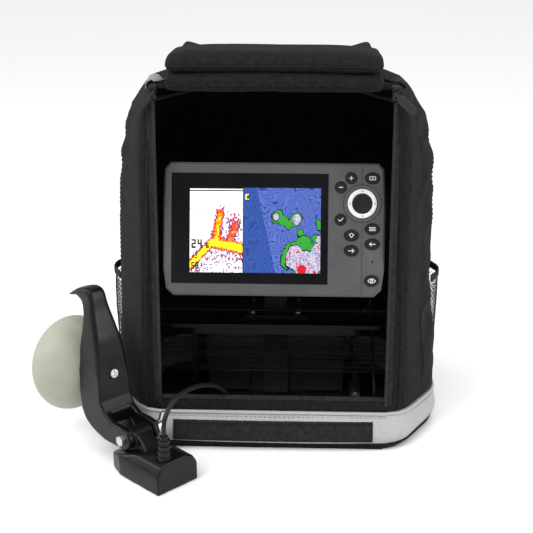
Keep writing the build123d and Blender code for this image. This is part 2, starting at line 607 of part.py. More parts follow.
def cable():
    """From the transducer over the lip to a coil on the bag's floor, then up to the display."""
    x, y, z = boot_exit()
    cx, cy = COIL_CENTRE
    level = COIL_FLOOR + CABLE_D / 2
    to_bag = [
        (x, y, z),
        (x, y, z + 10),
        (x + 1.8, y + 3.2, z + 20),
        (x + 6.2, y + 11.5, z + 28),
        (x + 13.5, y + 25, z + 31.5),
        (x + 23, y + 43, z + 29.5),
        (x + 32, y + 59.5, z + 23),
        (x + 39.5, y + 73, z + 15),
        (x + 46, y + 83, z + 5),
        (x + 52, y + 90, z - 9),
        (x + 59.5, y + 94.5, z - 23),
        (x + 71, y + 97, z - 33.5),
        (x + 87, y + 96.5, z - 39),
        (x + 107, y + 93, z - 40.3),
        (cx - 9, cy - COIL_MEAN + 0.6, level),
        (cx + 1, cy - COIL_MEAN, level),
    ]
    save("cable_to_bag", tube(to_bag))

    wide = COIL_TURNS_WIDE * CABLE_D
    section = Plane.XZ * (Pos(COIL_MEAN, wide / 2) * RectangleRounded(wide, wide, 2))
    coil = Pos(cx, cy, COIL_FLOOR) * revolve(section, axis=Axis.Z)
    save("cable_coil", coil)
    tie_outer = Plane.XZ * (Pos(COIL_MEAN, wide / 2) * RectangleRounded(wide + 2.2, wide + 2.2, 2.5))
    tie_inner = Plane.XZ * (Pos(COIL_MEAN, wide / 2) * RectangleRounded(wide + 1, wide + 1, 2))
    tie = extrude(tie_outer, amount=2.5, both=True) - extrude(tie_inner, amount=3, both=True)
    save("cable_tie", Pos(cx, cy, COIL_FLOOR) * (Rot(0, 0, 150) * tie))

    px, py, pz = in_head(SOCKET_X[-1], TILT_DEPTH + 1.2, TILT_HEIGHT)
    to_display = [
        (cx + 16.3, cy - 16.3, level),
        (cx + 24, cy - 8, level - 0.3),
        (cx + 35, cy + 3.5, level - 1.1),
        (cx + 44.5, cy + 16, level - 1.2),
        (cx + 50.5, cy + 30, level - 1),
        (cx + 53, cy + 42, level + 1.5),
        (cx + 53.8, cy + 51.5, level + 8.5),
        (cx + 52.5, cy + 58, level + 19),
        (cx + 51.5, cy + 61.5, level + 33),
        (cx + 50.5, cy + 63, level + 57),
        (cx + 48, cy + 63.5, level + 94),
        (cx + 45, cy + 64, level + 128),
        (px + 10, py + 24.5, pz - 34),
        (px + 4, py + 19, pz - 16),
        (px + 0.8, py + 9.5, pz - 5.2),
        (px, py, pz),
    ]
    save("cable_to_display", tube(to_display))
    free = CABLE_LENGTH - 237 - 271
    print("coil turns", round(free / (2 * pi * COIL_MEAN), 1))


# ---- Build -------------------------------------------------------------------------------
bag_outer = bag_block()
bag_panels(bag_shell(bag_outer))
mesh_pockets(bag_outer)
bag_trim(bag_outer)
zips()
front_flap()
shuttle()
battery()
charge_socket()
save("front_bezel", HEAD * bezel())
save("rear_housing", HEAD * rear_housing())
keypad()
head_inside()
rear_connectors()
tilt_mount()
transducer()
mount_arm()
suction_cup()
pivot_bolt()
cable()
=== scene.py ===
"""Looks of the portable fish finder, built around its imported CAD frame."""

import json
import math

import bmesh
import bpy
import numpy as np
from mathutils import Matrix, Vector, noise
from mathutils.bvhtree import BVHTree


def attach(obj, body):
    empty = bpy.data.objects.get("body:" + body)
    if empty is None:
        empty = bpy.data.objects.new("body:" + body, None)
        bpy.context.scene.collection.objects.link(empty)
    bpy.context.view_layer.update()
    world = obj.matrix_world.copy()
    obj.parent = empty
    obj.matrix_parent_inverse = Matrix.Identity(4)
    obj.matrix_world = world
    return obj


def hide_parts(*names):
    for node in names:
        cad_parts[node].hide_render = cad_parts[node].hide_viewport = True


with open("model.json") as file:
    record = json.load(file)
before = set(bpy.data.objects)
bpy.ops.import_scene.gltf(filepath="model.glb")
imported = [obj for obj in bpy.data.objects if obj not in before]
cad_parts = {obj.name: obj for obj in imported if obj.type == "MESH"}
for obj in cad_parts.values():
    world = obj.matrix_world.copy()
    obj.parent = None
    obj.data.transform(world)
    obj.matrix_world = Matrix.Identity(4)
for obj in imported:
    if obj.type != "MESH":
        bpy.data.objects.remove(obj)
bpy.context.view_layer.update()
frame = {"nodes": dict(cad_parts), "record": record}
NODES = frame["nodes"]
SLOT_OF = {part["node"]: part["material_slot"] for part in frame["record"]["subparts"]}
BODY_OF = {node: body for body, nodes in frame["record"]["behaviour"]["bodies"].items() for node in nodes}
MM = 0.001



def local_frame(place, degrees, axis):
    """A frame in millimetres, put at a place in metres and turned about one axis."""
    return Matrix.Translation(place) @ Matrix.Rotation(math.radians(degrees), 4, axis) @ Matrix.Scale(MM, 4)


# The display's own frame: x right, y into the display, z up.
HEAD = local_frame((0, -0.080, 0.206), -16, "X")
# The transducer's own frame: x across, y along the puck, z up.
SONAR = local_frame((-0.0797, -0.1737, 0), 46.5, "Z")
# Turns a lathe's axis from up to out of the display's face.
OUT_OF_FACE = Matrix.Rotation(math.radians(90), 4, "X")


# ---- Camera, floor and light -------------------------------------------------------------
def aim(obj, target):
    direction = Vector(target) - obj.location
    obj.rotation_euler = direction.to_track_quat("-Z", "Y").to_euler()


def link(obj):
    bpy.context.collection.objects.link(obj)
    return obj


def make_camera():
    """Nearly square on to the opening, from a little above."""
    data = bpy.data.cameras.new("camera")
    data.sensor_width = 36.0
    data.lens = 76.7
    camera = link(bpy.data.objects.new("camera", data))
    camera.location = (0.02715, -1.040, 0.5022)
    aim(camera, (-0.007, -0.062, 0.16525))
    bpy.context.scene.camera = camera


def area_light(name, place, target, width, height, power):
    data = bpy.data.lights.new(name, "AREA")
    data.shape = "RECTANGLE"
    data.size = width
    data.size_y = height
    data.energy = power
    light = link(bpy.data.objects.new(name, data))
    light.location = place
    aim(light, target)


def make_studio():
    """Pale floor, pale surroundings and soft lights from above and both sides."""
    mesh = bpy.data.meshes.new("floor")
    mesh.from_pydata([(-6, -6, 0), (6, -6, 0), (6, 6, 0), (-6, 6, 0)], [], [(0, 1, 2, 3)])
    floor = link(bpy.data.objects.new("floor", mesh))
    floor.location.z = -0.0004
    pale = Surface("floor_paint", (0.93, 0.93, 0.93), 0.25, specular=0.12)
    pale.bump(pale.noise(0.02), 0.00002)
    floor.data.materials.append(pale.material)
    world = bpy.data.worlds.new("world")
    world.use_nodes = True
    nodes, links = world.node_tree.nodes, world.node_tree.links
    nodes["Background"].inputs["Color"].default_value = (1, 1, 1, 1)
    nodes["Background"].inputs["Strength"].default_value = 0.56
    seen = nodes.new("ShaderNodeBackground")
    seen.inputs["Strength"].default_value = 1.0
    seen.inputs["Color"].default_value = (1, 1, 1, 1)
    mix = nodes.new("ShaderNodeMixShader")
    links.new(nodes.new("ShaderNodeLightPath").outputs["Is Camera Ray"], mix.inputs[0])
    links.new(nodes["Background"].outputs[0], mix.inputs[1])
    links.new(seen.outputs[0], mix.inputs[2])
    links.new(mix.outputs[0], nodes["World Output"].inputs["Surface"])
    bpy.context.scene.world = world
    bpy.context.scene.view_settings.view_transform = "Standard"
    sky = bpy.data.lights.new("even_light", "SUN")
    sky.energy = 1.9
    sky.angle = math.radians(70)
    even = link(bpy.data.objects.new("even_light", sky))
    even.location = (-0.5, -1.2, 3.0)
    aim(even, (0, 0, 0))
    area_light("key", (-0.8, -1.1, 1.3), (0, -0.05, 0.16), 0.5, 0.5, 9)
    area_light("right_edge", (1.3, -0.45, 0.7), (0.1, 0, 0.15), 0.3, 0.9, 9)
    area_light("left_edge", (-1.3, 0.1, 0.7), (-0.1, 0, 0.15), 0.3, 0.9, 6)


# ---- Materials ---------------------------------------------------------------------------
SOCKETS = {"specular": "Specular IOR Level", "sheen": "Sheen Weight", "sheen_rough": "Sheen Roughness"}


class Surface:
    """A procedural material, with its texture coordinates in metres of the row frame."""

    def __init__(self, name, colour, rough, metal=0.0, **sockets):
        self.material = bpy.data.materials.new(name)
        self.material.use_nodes = True
        self.tree = self.material.node_tree
        self.shader = self.tree.nodes["Principled BSDF"]
        self.shader.inputs["Base Color"].default_value = (*colour, 1)
        self.shader.inputs["Roughness"].default_value = rough
        self.shader.inputs["Metallic"].default_value = metal
        for key, value in sockets.items():
            self.shader.inputs[SOCKETS[key]].default_value = value
        self.normal = None

    def node(self, kind, inputs=(), **settings):
        made = self.tree.nodes.new(kind)
        for key, value in settings.items():
            setattr(made, key, value)
        for key, value in dict(inputs).items():
            if isinstance(value, bpy.types.NodeSocket):
                self.tree.links.new(value, made.inputs[key])
            else:
                made.inputs[key].default_value = value
        return made

    def place(self, stretch=(1, 1, 1), turn=(0, 0, 0)):
        coords = self.node("ShaderNodeTexCoord").outputs["Object"]
        mapping = self.node("ShaderNodeMapping", {"Vector": coords, "Scale": stretch, "Rotation": turn})
        return mapping.outputs["Vector"]

    def noise(self, size, detail=3.0, stretch=(1, 1, 1)):
        """Mottling whose patches are about size metres across."""
        inputs = {"Vector": self.place(stretch), "Scale": 1 / size, "Detail": detail}
        return self.node("ShaderNodeTexNoise", inputs).outputs["Fac"]

    def bands(self, period, direction, turn=(0, 0, 0)):
        """Smooth ridges a period apart in metres."""
        inputs = {"Vector": self.place(turn=turn), "Scale": 0.314159 / period}
        return self.node("ShaderNodeTexWave", inputs, bands_direction=direction).outputs["Fac"]

    def cells(self, size):
        inputs = {"Vector": self.place(), "Scale": 1 / size}
        return self.node("ShaderNodeTexVoronoi", inputs).outputs["Distance"]

    def maths(self, operation, a, b):
        return self.node("ShaderNodeMath", {0: a, 1: b}, operation=operation).outputs[0]

    def weave(self, pitch):
        """Plain weave: two sets of threads that cross."""
        across = self.bands(pitch, "X", turn=(0, 0, math.radians(45)))
        upright = self.bands(pitch, "Z")
        return self.maths("MULTIPLY", across, upright)

    def colour(self, factor, *stops):
        """Base colour from a ramp of (position, colour)."""
        ramp = self.node("ShaderNodeValToRGB", {"Fac": factor})
        elements = ramp.color_ramp.elements
        while len(elements) < len(stops):
            elements.new(0.5)
        for element, (position, rgb) in zip(elements, stops):
            element.position = position
            element.color = (*rgb, 1)
        self.tree.links.new(ramp.outputs["Color"], self.shader.inputs["Base Color"])
        return ramp.outputs["Color"]

    def worn_edges(self, base, edge, amount=0.4):
        """Mottled base colour that pales along sharp edges."""
        mottle = self.colour(self.noise(0.02), (0.3, base), (0.7, tuple(1.25 * c for c in base)))
        point = self.node("ShaderNodeNewGeometry").outputs["Pointiness"]
        mask = self.node("ShaderNodeMapRange", {"Value": point, "From Min": 0.56, "From Max": 0.72,
                                                "To Min": 0.0, "To Max": amount}).outputs["Result"]
        broken = self.maths("MULTIPLY", mask, self.noise(0.006))
        mix = self.node("ShaderNodeMix", {"Factor": broken, "A": mottle, "B": (*edge, 1)}, data_type="RGBA")
        self.tree.links.new(mix.outputs["Result"], self.shader.inputs["Base Color"])

    def rough(self, factor, low, high):
        spread = self.node("ShaderNodeMapRange", {"Value": factor, "To Min": low, "To Max": high})
        self.tree.links.new(spread.outputs["Result"], self.shader.inputs["Roughness"])

    def bump(self, height, depth, strength=1.0):
        """Relief of that depth in metres, on top of any relief already there."""
        inputs = {"Height": height, "Distance": depth, "Strength": strength}
        if self.normal is not None:
            inputs["Normal"] = self.normal
        self.normal = self.node("ShaderNodeBump", inputs).outputs["Normal"]
        self.tree.links.new(self.normal, self.shader.inputs["Normal"])


def cloth_surface(name, dark, light, pitch, depth, sheen=0.02, rough=0.85):
    made = Surface(name, dark, rough, sheen=sheen, sheen_rough=0.5, specular=0.09)
    weave = made.weave(pitch)
    mottle = made.maths("MULTIPLY", made.noise(0.004, 6), 0.85)
    thread = made.maths("ADD", made.maths("MULTIPLY", weave, 0.15), mottle)
    made.colour(thread, (0.25, dark), (0.75, light))
    made.rough(made.noise(0.03), rough - 0.08, min(1.0, rough + 0.08))
    made.bump(weave, depth)
    made.bump(made.noise(0.0035, 5), 0.00025, 0.7)
    return made


def plastic_surface(name, base, edge, rough, grain, depth, **sockets):
    made = Surface(name, base, rough, **sockets)
    made.worn_edges(base, edge)
    made.rough(made.noise(0.01), rough - 0.05, rough + 0.07)
    made.bump(made.noise(grain, 2), depth)
    return made


# For each cloth: dark colour, light colour, thread pitch and relief depth in metres, other values.
CLOTHS = {
    "nylon": ((0.005, 0.005, 0.006), (0.016, 0.016, 0.0175), 0.0008, 0.00012, {}),
    "band": ((0.355, 0.355, 0.36), (0.41, 0.41, 0.415), 0.0012, 0.00008, {"rough": 0.6}),
    "mesh": ((0.02, 0.02, 0.022), (0.05, 0.05, 0.054), 0.0006, 0.0001, {}),
    "webbing": ((0.012, 0.012, 0.013), (0.035, 0.035, 0.038), 0.0018, 0.0005, {}),
    "zip_tape": ((0.010, 0.010, 0.011), (0.028, 0.028, 0.03), 0.0009, 0.0002, {}),
    "loop": ((0.008, 0.008, 0.009), (0.03, 0.03, 0.032), 0.0007, 0.0004, {"sheen": 0.08}),
    "tag": ((0.22, 0.22, 0.23), (0.34, 0.34, 0.35), 0.0013, 0.0003, {}),
}
# For each plastic: colour, colour of worn edges, roughness, grain size and depth in metres, other values.
PLASTICS = {
    "moulding": ((0.004, 0.004, 0.0045), (0.02, 0.02, 0.021), 0.5, 0.0007, 0.00005, {"specular": 0.2}),
    "battery": ((0.012, 0.012, 0.013), (0.04, 0.04, 0.041), 0.4, 0.0009, 0.00008, {}),
    "bezel": ((0.054, 0.054, 0.056), (0.16, 0.16, 0.16), 0.45, 0.0005, 0.00004, {"specular": 0.35}),
    "gloss_black": ((0.0028, 0.0028, 0.003), (0.016, 0.016, 0.016), 0.33, 0.003, 0.00003, {"specular": 0.22}),
    "keypad": ((0.0045, 0.0045, 0.005), (0.04, 0.04, 0.04), 0.42, 0.0006, 0.00003, {"specular": 0.3}),
    "nav": ((0.62, 0.62, 0.63), (0.8, 0.8, 0.8), 0.35, 0.0008, 0.00002, {}),
    "cable": ((0.005, 0.005, 0.0055), (0.02, 0.02, 0.02), 0.45, 0.0009, 0.00006, {"specular": 0.25}),
    "seal": ((0.01, 0.01, 0.01), (0.02, 0.02, 0.02), 0.7, 0.0009, 0.00005, {}),
    "screen": ((0.02, 0.02, 0.025), (0.05, 0.05, 0.05), 0.3, 0.001, 0.00002, {}),
}


def make_materials():
    made = {}
    for name, (dark, light, pitch, depth, others) in CLOTHS.items():
        made[name] = cloth_surface(name, dark, light, pitch, depth, **others)
    made["loop"].bump(made["loop"].noise(0.0012, 6), 0.0008)
    for name, (base, edge, rough, grain_size, depth, others) in PLASTICS.items():
        made[name] = plastic_surface(name, base, edge, rough, grain_size, depth, **others)
    lens = Surface("lens", (0.004, 0.004, 0.005), 0.08, specular=0.12)
    lens.colour(lens.noise(0.05), (0.3, (0.003, 0.003, 0.004)), (0.8, (0.008, 0.008, 0.009)))
    lens.bump(lens.noise(0.03), 0.00001)
    made["lens"] = lens
    board = Surface("board", (0.01, 0.08, 0.03), 0.35)
    board.colour(board.cells(0.006), (0.2, (0.008, 0.07, 0.03)), (0.6, (0.02, 0.14, 0.06)))
    board.bump(board.cells(0.004), 0.0002)
    made["board"] = board
    steel = Surface("steel", (0.55, 0.55, 0.56), 0.28, metal=1.0)
    steel.colour(steel.noise(0.004), (0.3, (0.42, 0.42, 0.43)), (0.7, (0.66, 0.66, 0.67)))
    steel.rough(steel.noise(0.0012, stretch=(1, 1, 12)), 0.2, 0.42)
    steel.bump(steel.noise(0.0006, stretch=(1, 1, 10)), 0.00002)
    made["steel"] = steel
    zip_metal = Surface("zip_metal", (0.03, 0.03, 0.032), 0.38, metal=0.6)
    zip_metal.worn_edges((0.020, 0.020, 0.022), (0.12, 0.12, 0.12), amount=0.15)
    zip_metal.bump(zip_metal.noise(0.0009), 0.00004)
    made["zip_metal"] = zip_metal
    cup = Surface("cup_rubber", (0.36, 0.37, 0.30), 0.42, specular=0.35)
    cup.colour(cup.noise(0.03), (0.3, (0.31, 0.32, 0.255)), (0.75, (0.38, 0.39, 0.32)))
    cup.rough(cup.noise(0.012), 0.36, 0.55)
    cup.bump(cup.noise(0.0016), 0.00005)
    made["cup_rubber"] = cup
    thread = Surface("thread", (0.012, 0.012, 0.013), 0.7, specular=0.1)
    thread.colour(thread.noise(0.002), (0.3, (0.007, 0.007, 0.008)), (0.7, (0.018, 0.018, 0.019)))
    thread.bump(thread.bands(0.0004, "DIAGONAL"), 0.0001)
    made["thread"] = thread
    grey_thread = Surface("grey_thread", (0.3, 0.3, 0.3), 0.6, sheen=0.3)
    grey_thread.colour(grey_thread.noise(0.002), (0.3, (0.20, 0.20, 0.21)), (0.7, (0.30, 0.30, 0.31)))
    grey_thread.bump(grey_thread.bands(0.0004, "DIAGONAL"), 0.0001)
    made["grey_thread"] = grey_thread
    return {name: surface.material for name, surface in made.items()}


def shown_colour(name, colour, glow=0.35):
    """One colour of the display's picture, a little uneven as lit pixels are."""
    made = Surface(name, colour, 0.12, specular=0.15)
    dim = tuple(0.86 * c for c in colour)
    shown = made.colour(made.noise(0.0012, 2), (0.35, dim), (0.65, colour))
    made.tree.links.new(shown, made.shader.inputs["Emission Color"])
    made.shader.inputs["Emission Strength"].default_value = glow
    return made.material


# ---- Mesh helpers ------------------------------------------------------------------------
def piece(name, verts, faces, body, slot, materials=None, face_slots=None, smooth=True):
    """A new mesh piece in the row frame that rides on a body."""
    mesh = bpy.data.meshes.new(name)
    mesh.from_pydata([tuple(v) for v in verts], [], faces)
    mesh.validate()
    return finish_piece(link(bpy.data.objects.new(name, mesh)), body, slot, materials, face_slots, smooth)


def finish_piece(obj, body, slot, materials=None, face_slots=None, smooth=True):
    for material in materials or [MATERIALS[slot]]:
        obj.data.materials.append(material)
    if face_slots is not None:
        obj.data.polygons.foreach_set("material_index", face_slots)
    obj.data.polygons.foreach_set("use_smooth", [smooth] * len(obj.data.polygons))
    if body:
        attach(obj, body)
    return obj


def applied(obj):
    """Replaces obj's mesh with what its modifiers make of it."""
    graph = bpy.context.evaluated_depsgraph_get()
    mesh = bpy.data.meshes.new_from_object(obj.evaluated_get(graph))
    obj.modifiers.clear()
    obj.data = mesh
    return obj


def node_copy(name, nodes, voxel, rounding=2, thicken=0.0):
    """A rounded copy of CAD nodes as one closed mesh, not yet on a body."""
    merged = bmesh.new()
    for node in nodes:
        merged.from_mesh(NODES[node].data)
    if thicken:
        bmesh.ops.remove_doubles(merged, verts=merged.verts, dist=0.00001)
        merged.normal_update()
        for vert in merged.verts:
            vert.co += vert.normal * thicken
    mesh = bpy.data.meshes.new(name)
    merged.to_mesh(mesh)
    merged.free()
    mesh.materials.clear()
    obj = link(bpy.data.objects.new(name, mesh))
    remesh = obj.modifiers.new("remesh", "REMESH")
    remesh.mode = "VOXEL"
    remesh.voxel_size = voxel
    if rounding:
        smooth = obj.modifiers.new("smooth", "SMOOTH")
        smooth.factor = 0.5
        smooth.iterations = rounding
    return applied(obj)


def coordinates(obj):
    values = np.empty(len(obj.data.vertices) * 3, np.float32)
    obj.data.vertices.foreach_get("co", values)
    return values.reshape(-1, 3).astype(float)


def put_coordinates(obj, values):
    obj.data.vertices.foreach_set("co", values.astype(np.float32).ravel())
    obj.data.update()


def moved(obj, rule):
    """Moves every vertex p of obj to rule(p)."""
    put_coordinates(obj, np.array([tuple(rule(Vector(p))) for p in coordinates(obj)]))
    return obj


def softened(obj, rounds, chosen):
    """More rounding at the points for which chosen holds."""
    mesh = bmesh.new()
    mesh.from_mesh(obj.data)
    verts = [vert for vert in mesh.verts if chosen(vert.co)]
    every_way = {"use_axis_x": True, "use_axis_y": True, "use_axis_z": True}
    for _ in range(rounds):
        bmesh.ops.smooth_vert(mesh, verts=verts, factor=0.5, **every_way)
    mesh.to_mesh(obj.data)
    mesh.free()


def puffed(obj, pressure, cap, frames=16):
    """Cloth simulation that plumps a closed piece, with its movement capped."""
    start = coordinates(obj)
    cloth = obj.modifiers.new("cloth", "CLOTH")
    cloth.settings.use_pressure = True
    cloth.settings.uniform_pressure_force = pressure
    cloth.settings.effector_weights.gravity = 0
    cloth.settings.quality = 4
    cloth.settings.tension_stiffness = 12
    cloth.settings.bending_stiffness = 0.6
    cloth.point_cache.frame_start = 1
    cloth.point_cache.frame_end = frames
    for step in range(1, frames + 1):
        bpy.context.scene.frame_set(step)
    applied(obj)
    bpy.context.scene.frame_set(1)
    shift = coordinates(obj) - start
    reach = np.linalg.norm(shift, axis=1, keepdims=True)
    put_coordinates(obj, start + shift * np.minimum(1, cap / np.maximum(reach, 1e-9)))
    return obj


def subdivided(obj):
    surface = obj.modifiers.new("subdivision", "SUBSURF")
    surface.levels = 1
    surface.render_levels = 1
    return applied(obj)


def rings(points, radius, sides=8, closed=False, flat=1.0):
    """Vertices and faces of a tube along points; flat squeezes its second axis."""
    points = [Vector(p) for p in points]
    count = len(points)
    verts, faces = [], []
    side_way = None
    for i, here in enumerate(points):
        before = points[i - 1] if (i or closed) else here
        after = points[(i + 1) % count] if (i + 1 < count or closed) else here
        along = (after - before).normalized()
        if side_way is None:
            side_way = along.orthogonal().normalized()
        side_way = (side_way - along * side_way.dot(along)).normalized()
        other_way = along.cross(side_way) * flat
        for k in range(sides):
            angle = 2 * math.pi * k / sides
            verts.append(here + radius * (math.cos(angle) * side_way + math.sin(angle) * other_way))
    for i in range(count if closed else count - 1):
        a, b = i * sides, (i + 1) % count * sides
        faces += [(a + k, a + (k + 1) % sides, b + (k + 1) % sides, b + k) for k in range(sides)]
    if not closed:
        faces.append(tuple(range(sides))[::-1])
        faces.append(tuple(range((count - 1) * sides, count * sides)))
    return verts, faces


def tubes(name, paths, radius, body, slot, sides=8, closed=False, material=None):
    """One piece made of a round tube along each path."""
    verts, faces = [], []
    for path in paths:
        new_verts, new_faces = rings(path, radius, sides, closed)
        faces += [tuple(i + len(verts) for i in face) for face in new_faces]
        verts += new_verts
    return piece(name, verts, faces, body, slot, [MATERIALS[material or slot]])


def resampled(path, spacing):
    """Points an even spacing apart along a path."""
    path = [Vector(p) for p in path]
    lengths = [0.0]
    for a, b in zip(path, path[1:]):
        lengths.append(lengths[-1] + (b - a).length)
    count = max(2, int(lengths[-1] / spacing) + 1)
    out, k = [], 0
    for i in range(count):
        target = lengths[-1] * i / (count - 1)
        while k < len(path) - 2 and lengths[k + 1] < target:
            k += 1
        span = max(lengths[k + 1] - lengths[k], 1e-9)
        out.append(path[k].lerp(path[k + 1], (target - lengths[k]) / span))
    return out


def stitches(name, paths, body, thread="thread", length=0.0030, gap=0.0014, radius=0.00038):
    """Seam lines of separate stitches along paths that lie on the cloth."""
    runs = []
    for path in paths:
        points = resampled(path, (length + gap) / 4)
        runs += [points[i:i + 3] for i in range(0, len(points) - 3, 4)]
    return tubes(name, runs, radius, body, None, sides=6, material=thread)


def ribbon(name, middle, across, width, thickness, body, slot, material=None):
    """A flat strap along middle, its width along across and its edges rounded."""
    profile = [(-0.5, -0.25), (-0.48, 0.25), (-0.46, 0.5), (0.46, 0.5), (0.48, 0.25), (0.5, -0.25),
               (0.46, -0.5), (-0.46, -0.5)]
    middle = [Vector(p) for p in middle]
    verts, faces = [], []
    for i, here in enumerate(middle):
        along = (middle[min(i + 1, len(middle) - 1)] - middle[max(i - 1, 0)]).normalized()
        wide = Vector(across[i] if isinstance(across, list) else across)
        wide = (wide - along * wide.dot(along)).normalized()
        deep = wide.cross(along)
        verts += [here + wide * u * width + deep * v * thickness for u, v in profile]
    n = len(profile)
    for i in range(len(middle) - 1):
        a, b = i * n, (i + 1) * n
        faces += [(a + k, a + (k + 1) % n, b + (k + 1) % n, b + k) for k in range(n)]
    faces.append(tuple(range(n))[::-1])
    faces.append(tuple(range((len(middle) - 1) * n, len(middle) * n)))
    return piece(name, verts, faces, body, slot, [MATERIALS[material or slot]])


def curve_through(points, steps):
    """Catmull-Rom points through a list of tuples."""
    points = [np.array(p, float) for p in points]
    points = [2 * points[0] - points[1]] + points + [2 * points[-1] - points[-2]]
    out = []
    for a, b, c, d in zip(points, points[1:], points[2:], points[3:]):
        for i in range(steps):
            t = i / steps
            out.append(0.5 * (2 * b + (c - a) * t + (2 * a - 5 * b + 4 * c - d) * t**2
                              + (3 * b - a - 3 * c + d) * t**3))
    out.append(points[-2])
    return out


def lathe(name, profile, place, body, slot, sides=72, hollow=False):
    """Turned about the place's z axis, from (radius, depth) in millimetres; a hollow one is a ring."""
    verts, faces = [], []
    for radius, depth in profile:
        for k in range(sides):
            angle = 2 * math.pi * k / sides
            verts.append(place @ Vector((radius * math.cos(angle), radius * math.sin(angle), depth)))
    for i in range(len(profile) if hollow else len(profile) - 1):
        a, b = i * sides, (i + 1) % len(profile) * sides
        faces += [(a + k, a + (k + 1) % sides, b + (k + 1) % sides, b + k) for k in range(sides)]
    if not hollow:
        faces.append(tuple(range(sides))[::-1])
        faces.append(tuple(range((len(profile) - 1) * sides, len(profile) * sides)))
    return piece(name, verts, faces, body, slot, [MATERIALS[slot]])


def tree_of(*nodes):
    """Something to cast rays at: the surface of CAD nodes at rest."""
    merged = bmesh.new()
    for node in nodes:
        merged.from_mesh(NODES[node].data)
    tree = BVHTree.FromBMesh(merged)
    merged.free()
    return tree


def hit(tree, origin, target, lift=0.0):
    """Where a ray from origin towards target meets the surface, raised by lift."""
    origin, target = Vector(origin), Vector(target)
    place, normal, _, _ = tree.ray_cast(origin, (target - origin).normalized())
    if place is None:
        return None
    if normal.dot(origin - place) < 0:
        normal = -normal
    return place + normal * lift


def hits(tree, pairs, lift=0.0):
    found = [hit(tree, origin, target, lift) for origin, target in pairs]
    return [p for p in found if p is not None]


def level_row(tree, z, reach, step, lift, side=-1):
    """Points across the front (side -1) or the back (side 1) at one height; reach and step in millimetres."""
    row = range(-reach, reach + 1, step)
    return hits(tree, [((x * MM, side * 0.3, z), (x * MM, 0, z)) for x in row], lift)


def upright_row(tree, x, heights, lift, side):
    """Points up the front (side -1) or the back (side 1) at one x, at heights in millimetres."""
    return hits(tree, [((x, side * 0.3, z * MM), (x, 0, z * MM)) for z in heights], lift)


# ---- Sonar cable -------------------------------------------------------------------------
CABLE_D = 0.0042
BOOT = Vector((-91.05, -172.58, 49.0))
COIL = Vector((45.0, -60.0, 9.3))
PLUG = Vector((76.0, -20.07, 192.98))
COIL_TURNS = 9.125


def coil_points():
    """Turns of the spare cable, three wide and three high, in millimetres about the coil's centre."""
    lanes = [(23.0, 0.0), (18.8, 0.0), (18.8, 4.2), (18.8, 8.4), (23.0, 8.4), (23.0, 4.2), (27.2, 4.2),
             (27.2, 8.4), (27.2, 4.2), (26.8, 0.2), (23.4, 0.0)]
    steps = 14
    points = []
    for i in range(1, int(COIL_TURNS * steps)):
        turn = i / steps
        lane = int(turn)
        share = min(1.0, max(0.0, (turn - lane - 0.62) / 0.38))
        share = share * share * (3 - 2 * share)
        radius = lanes[lane][0] * (1 - share) + lanes[lane + 1][0] * share
        height = lanes[lane][1] * (1 - share) + lanes[lane + 1][1] * share
        angle = math.radians(-90) + 2 * math.pi * turn
        points.append(Vector((radius * math.cos(angle), radius * math.sin(angle), height)))
    return points


def cable_route():
    """The cable's route in millimetres: over the lip, round the coil, up behind the display."""
    over_lip = [(0, 0, 0), (0, 0, 10), (1.8, 3.2, 18.5), (6.2, 11.5, 26), (13.5, 25, 29), (23, 43, 27),
                (32, 59.5, 21), (39.5, 73, 14), (46, 83, 4.5), (52, 90, -9), (59.5, 94.5, -23),
                (71, 97, -33.5), (87, 96.5, -39), (107, 93, -40.3)]
    into_coil = [(-9, -22.4, 0), (1, -23, 0)]
    out_of_coil = [(16.3, -16.3, 0), (24, -8, -0.3), (35, 3.5, -1.1), (44.5, 16, -1.2), (50.5, 30, -1),
                   (53, 42, 1.5), (53.8, 51.5, 8.5), (52.5, 58, 19), (51.5, 61.5, 33), (50.5, 63, 57),
                   (48, 63.5, 94), (45, 64, 128)]
    to_plug = [(10, 24.5, -34), (4, 19, -16), (0.8, 9.5, -5.2), (0, 0, 0)]
    route = [BOOT + Vector(p) for p in over_lip]
    route += [COIL + Vector(p) for p in into_coil]
    route += [COIL + p for p in coil_points()]
    route += [COIL + Vector(p) for p in out_of_coil]
    route += [PLUG + Vector(p) for p in to_plug]
    return [p * MM for p in route]


def make_cable():
    curve = bpy.data.curves.new("sonar_cable", "CURVE")
    curve.dimensions = "3D"
    curve.bevel_depth = CABLE_D / 2
    curve.bevel_resolution = 4
    curve.resolution_u = 10
    curve.use_fill_caps = True
    spline = curve.splines.new("NURBS")
    route = cable_route()
    spline.points.add(len(route) - 1)
    for point, place in zip(spline.points, route):
        point.co = (*place, 1)
    spline.order_u = 3
    spline.use_endpoint_u = True
    cable = link(bpy.data.objects.new("sonar_cable", curve))
    curve.materials.append(MATERIALS["cable"])
    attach(cable, "bag")
    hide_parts("cable_to_bag", "cable_coil", "cable_to_display")


# ---- Carry bag ---------------------------------------------------------------------------
def fade(value, start, end):
    t = min(1.0, max(0.0, (value - start) / (end - start)))
    return t * t * (3 - 2 * t)


BAND_TOP = 0.036


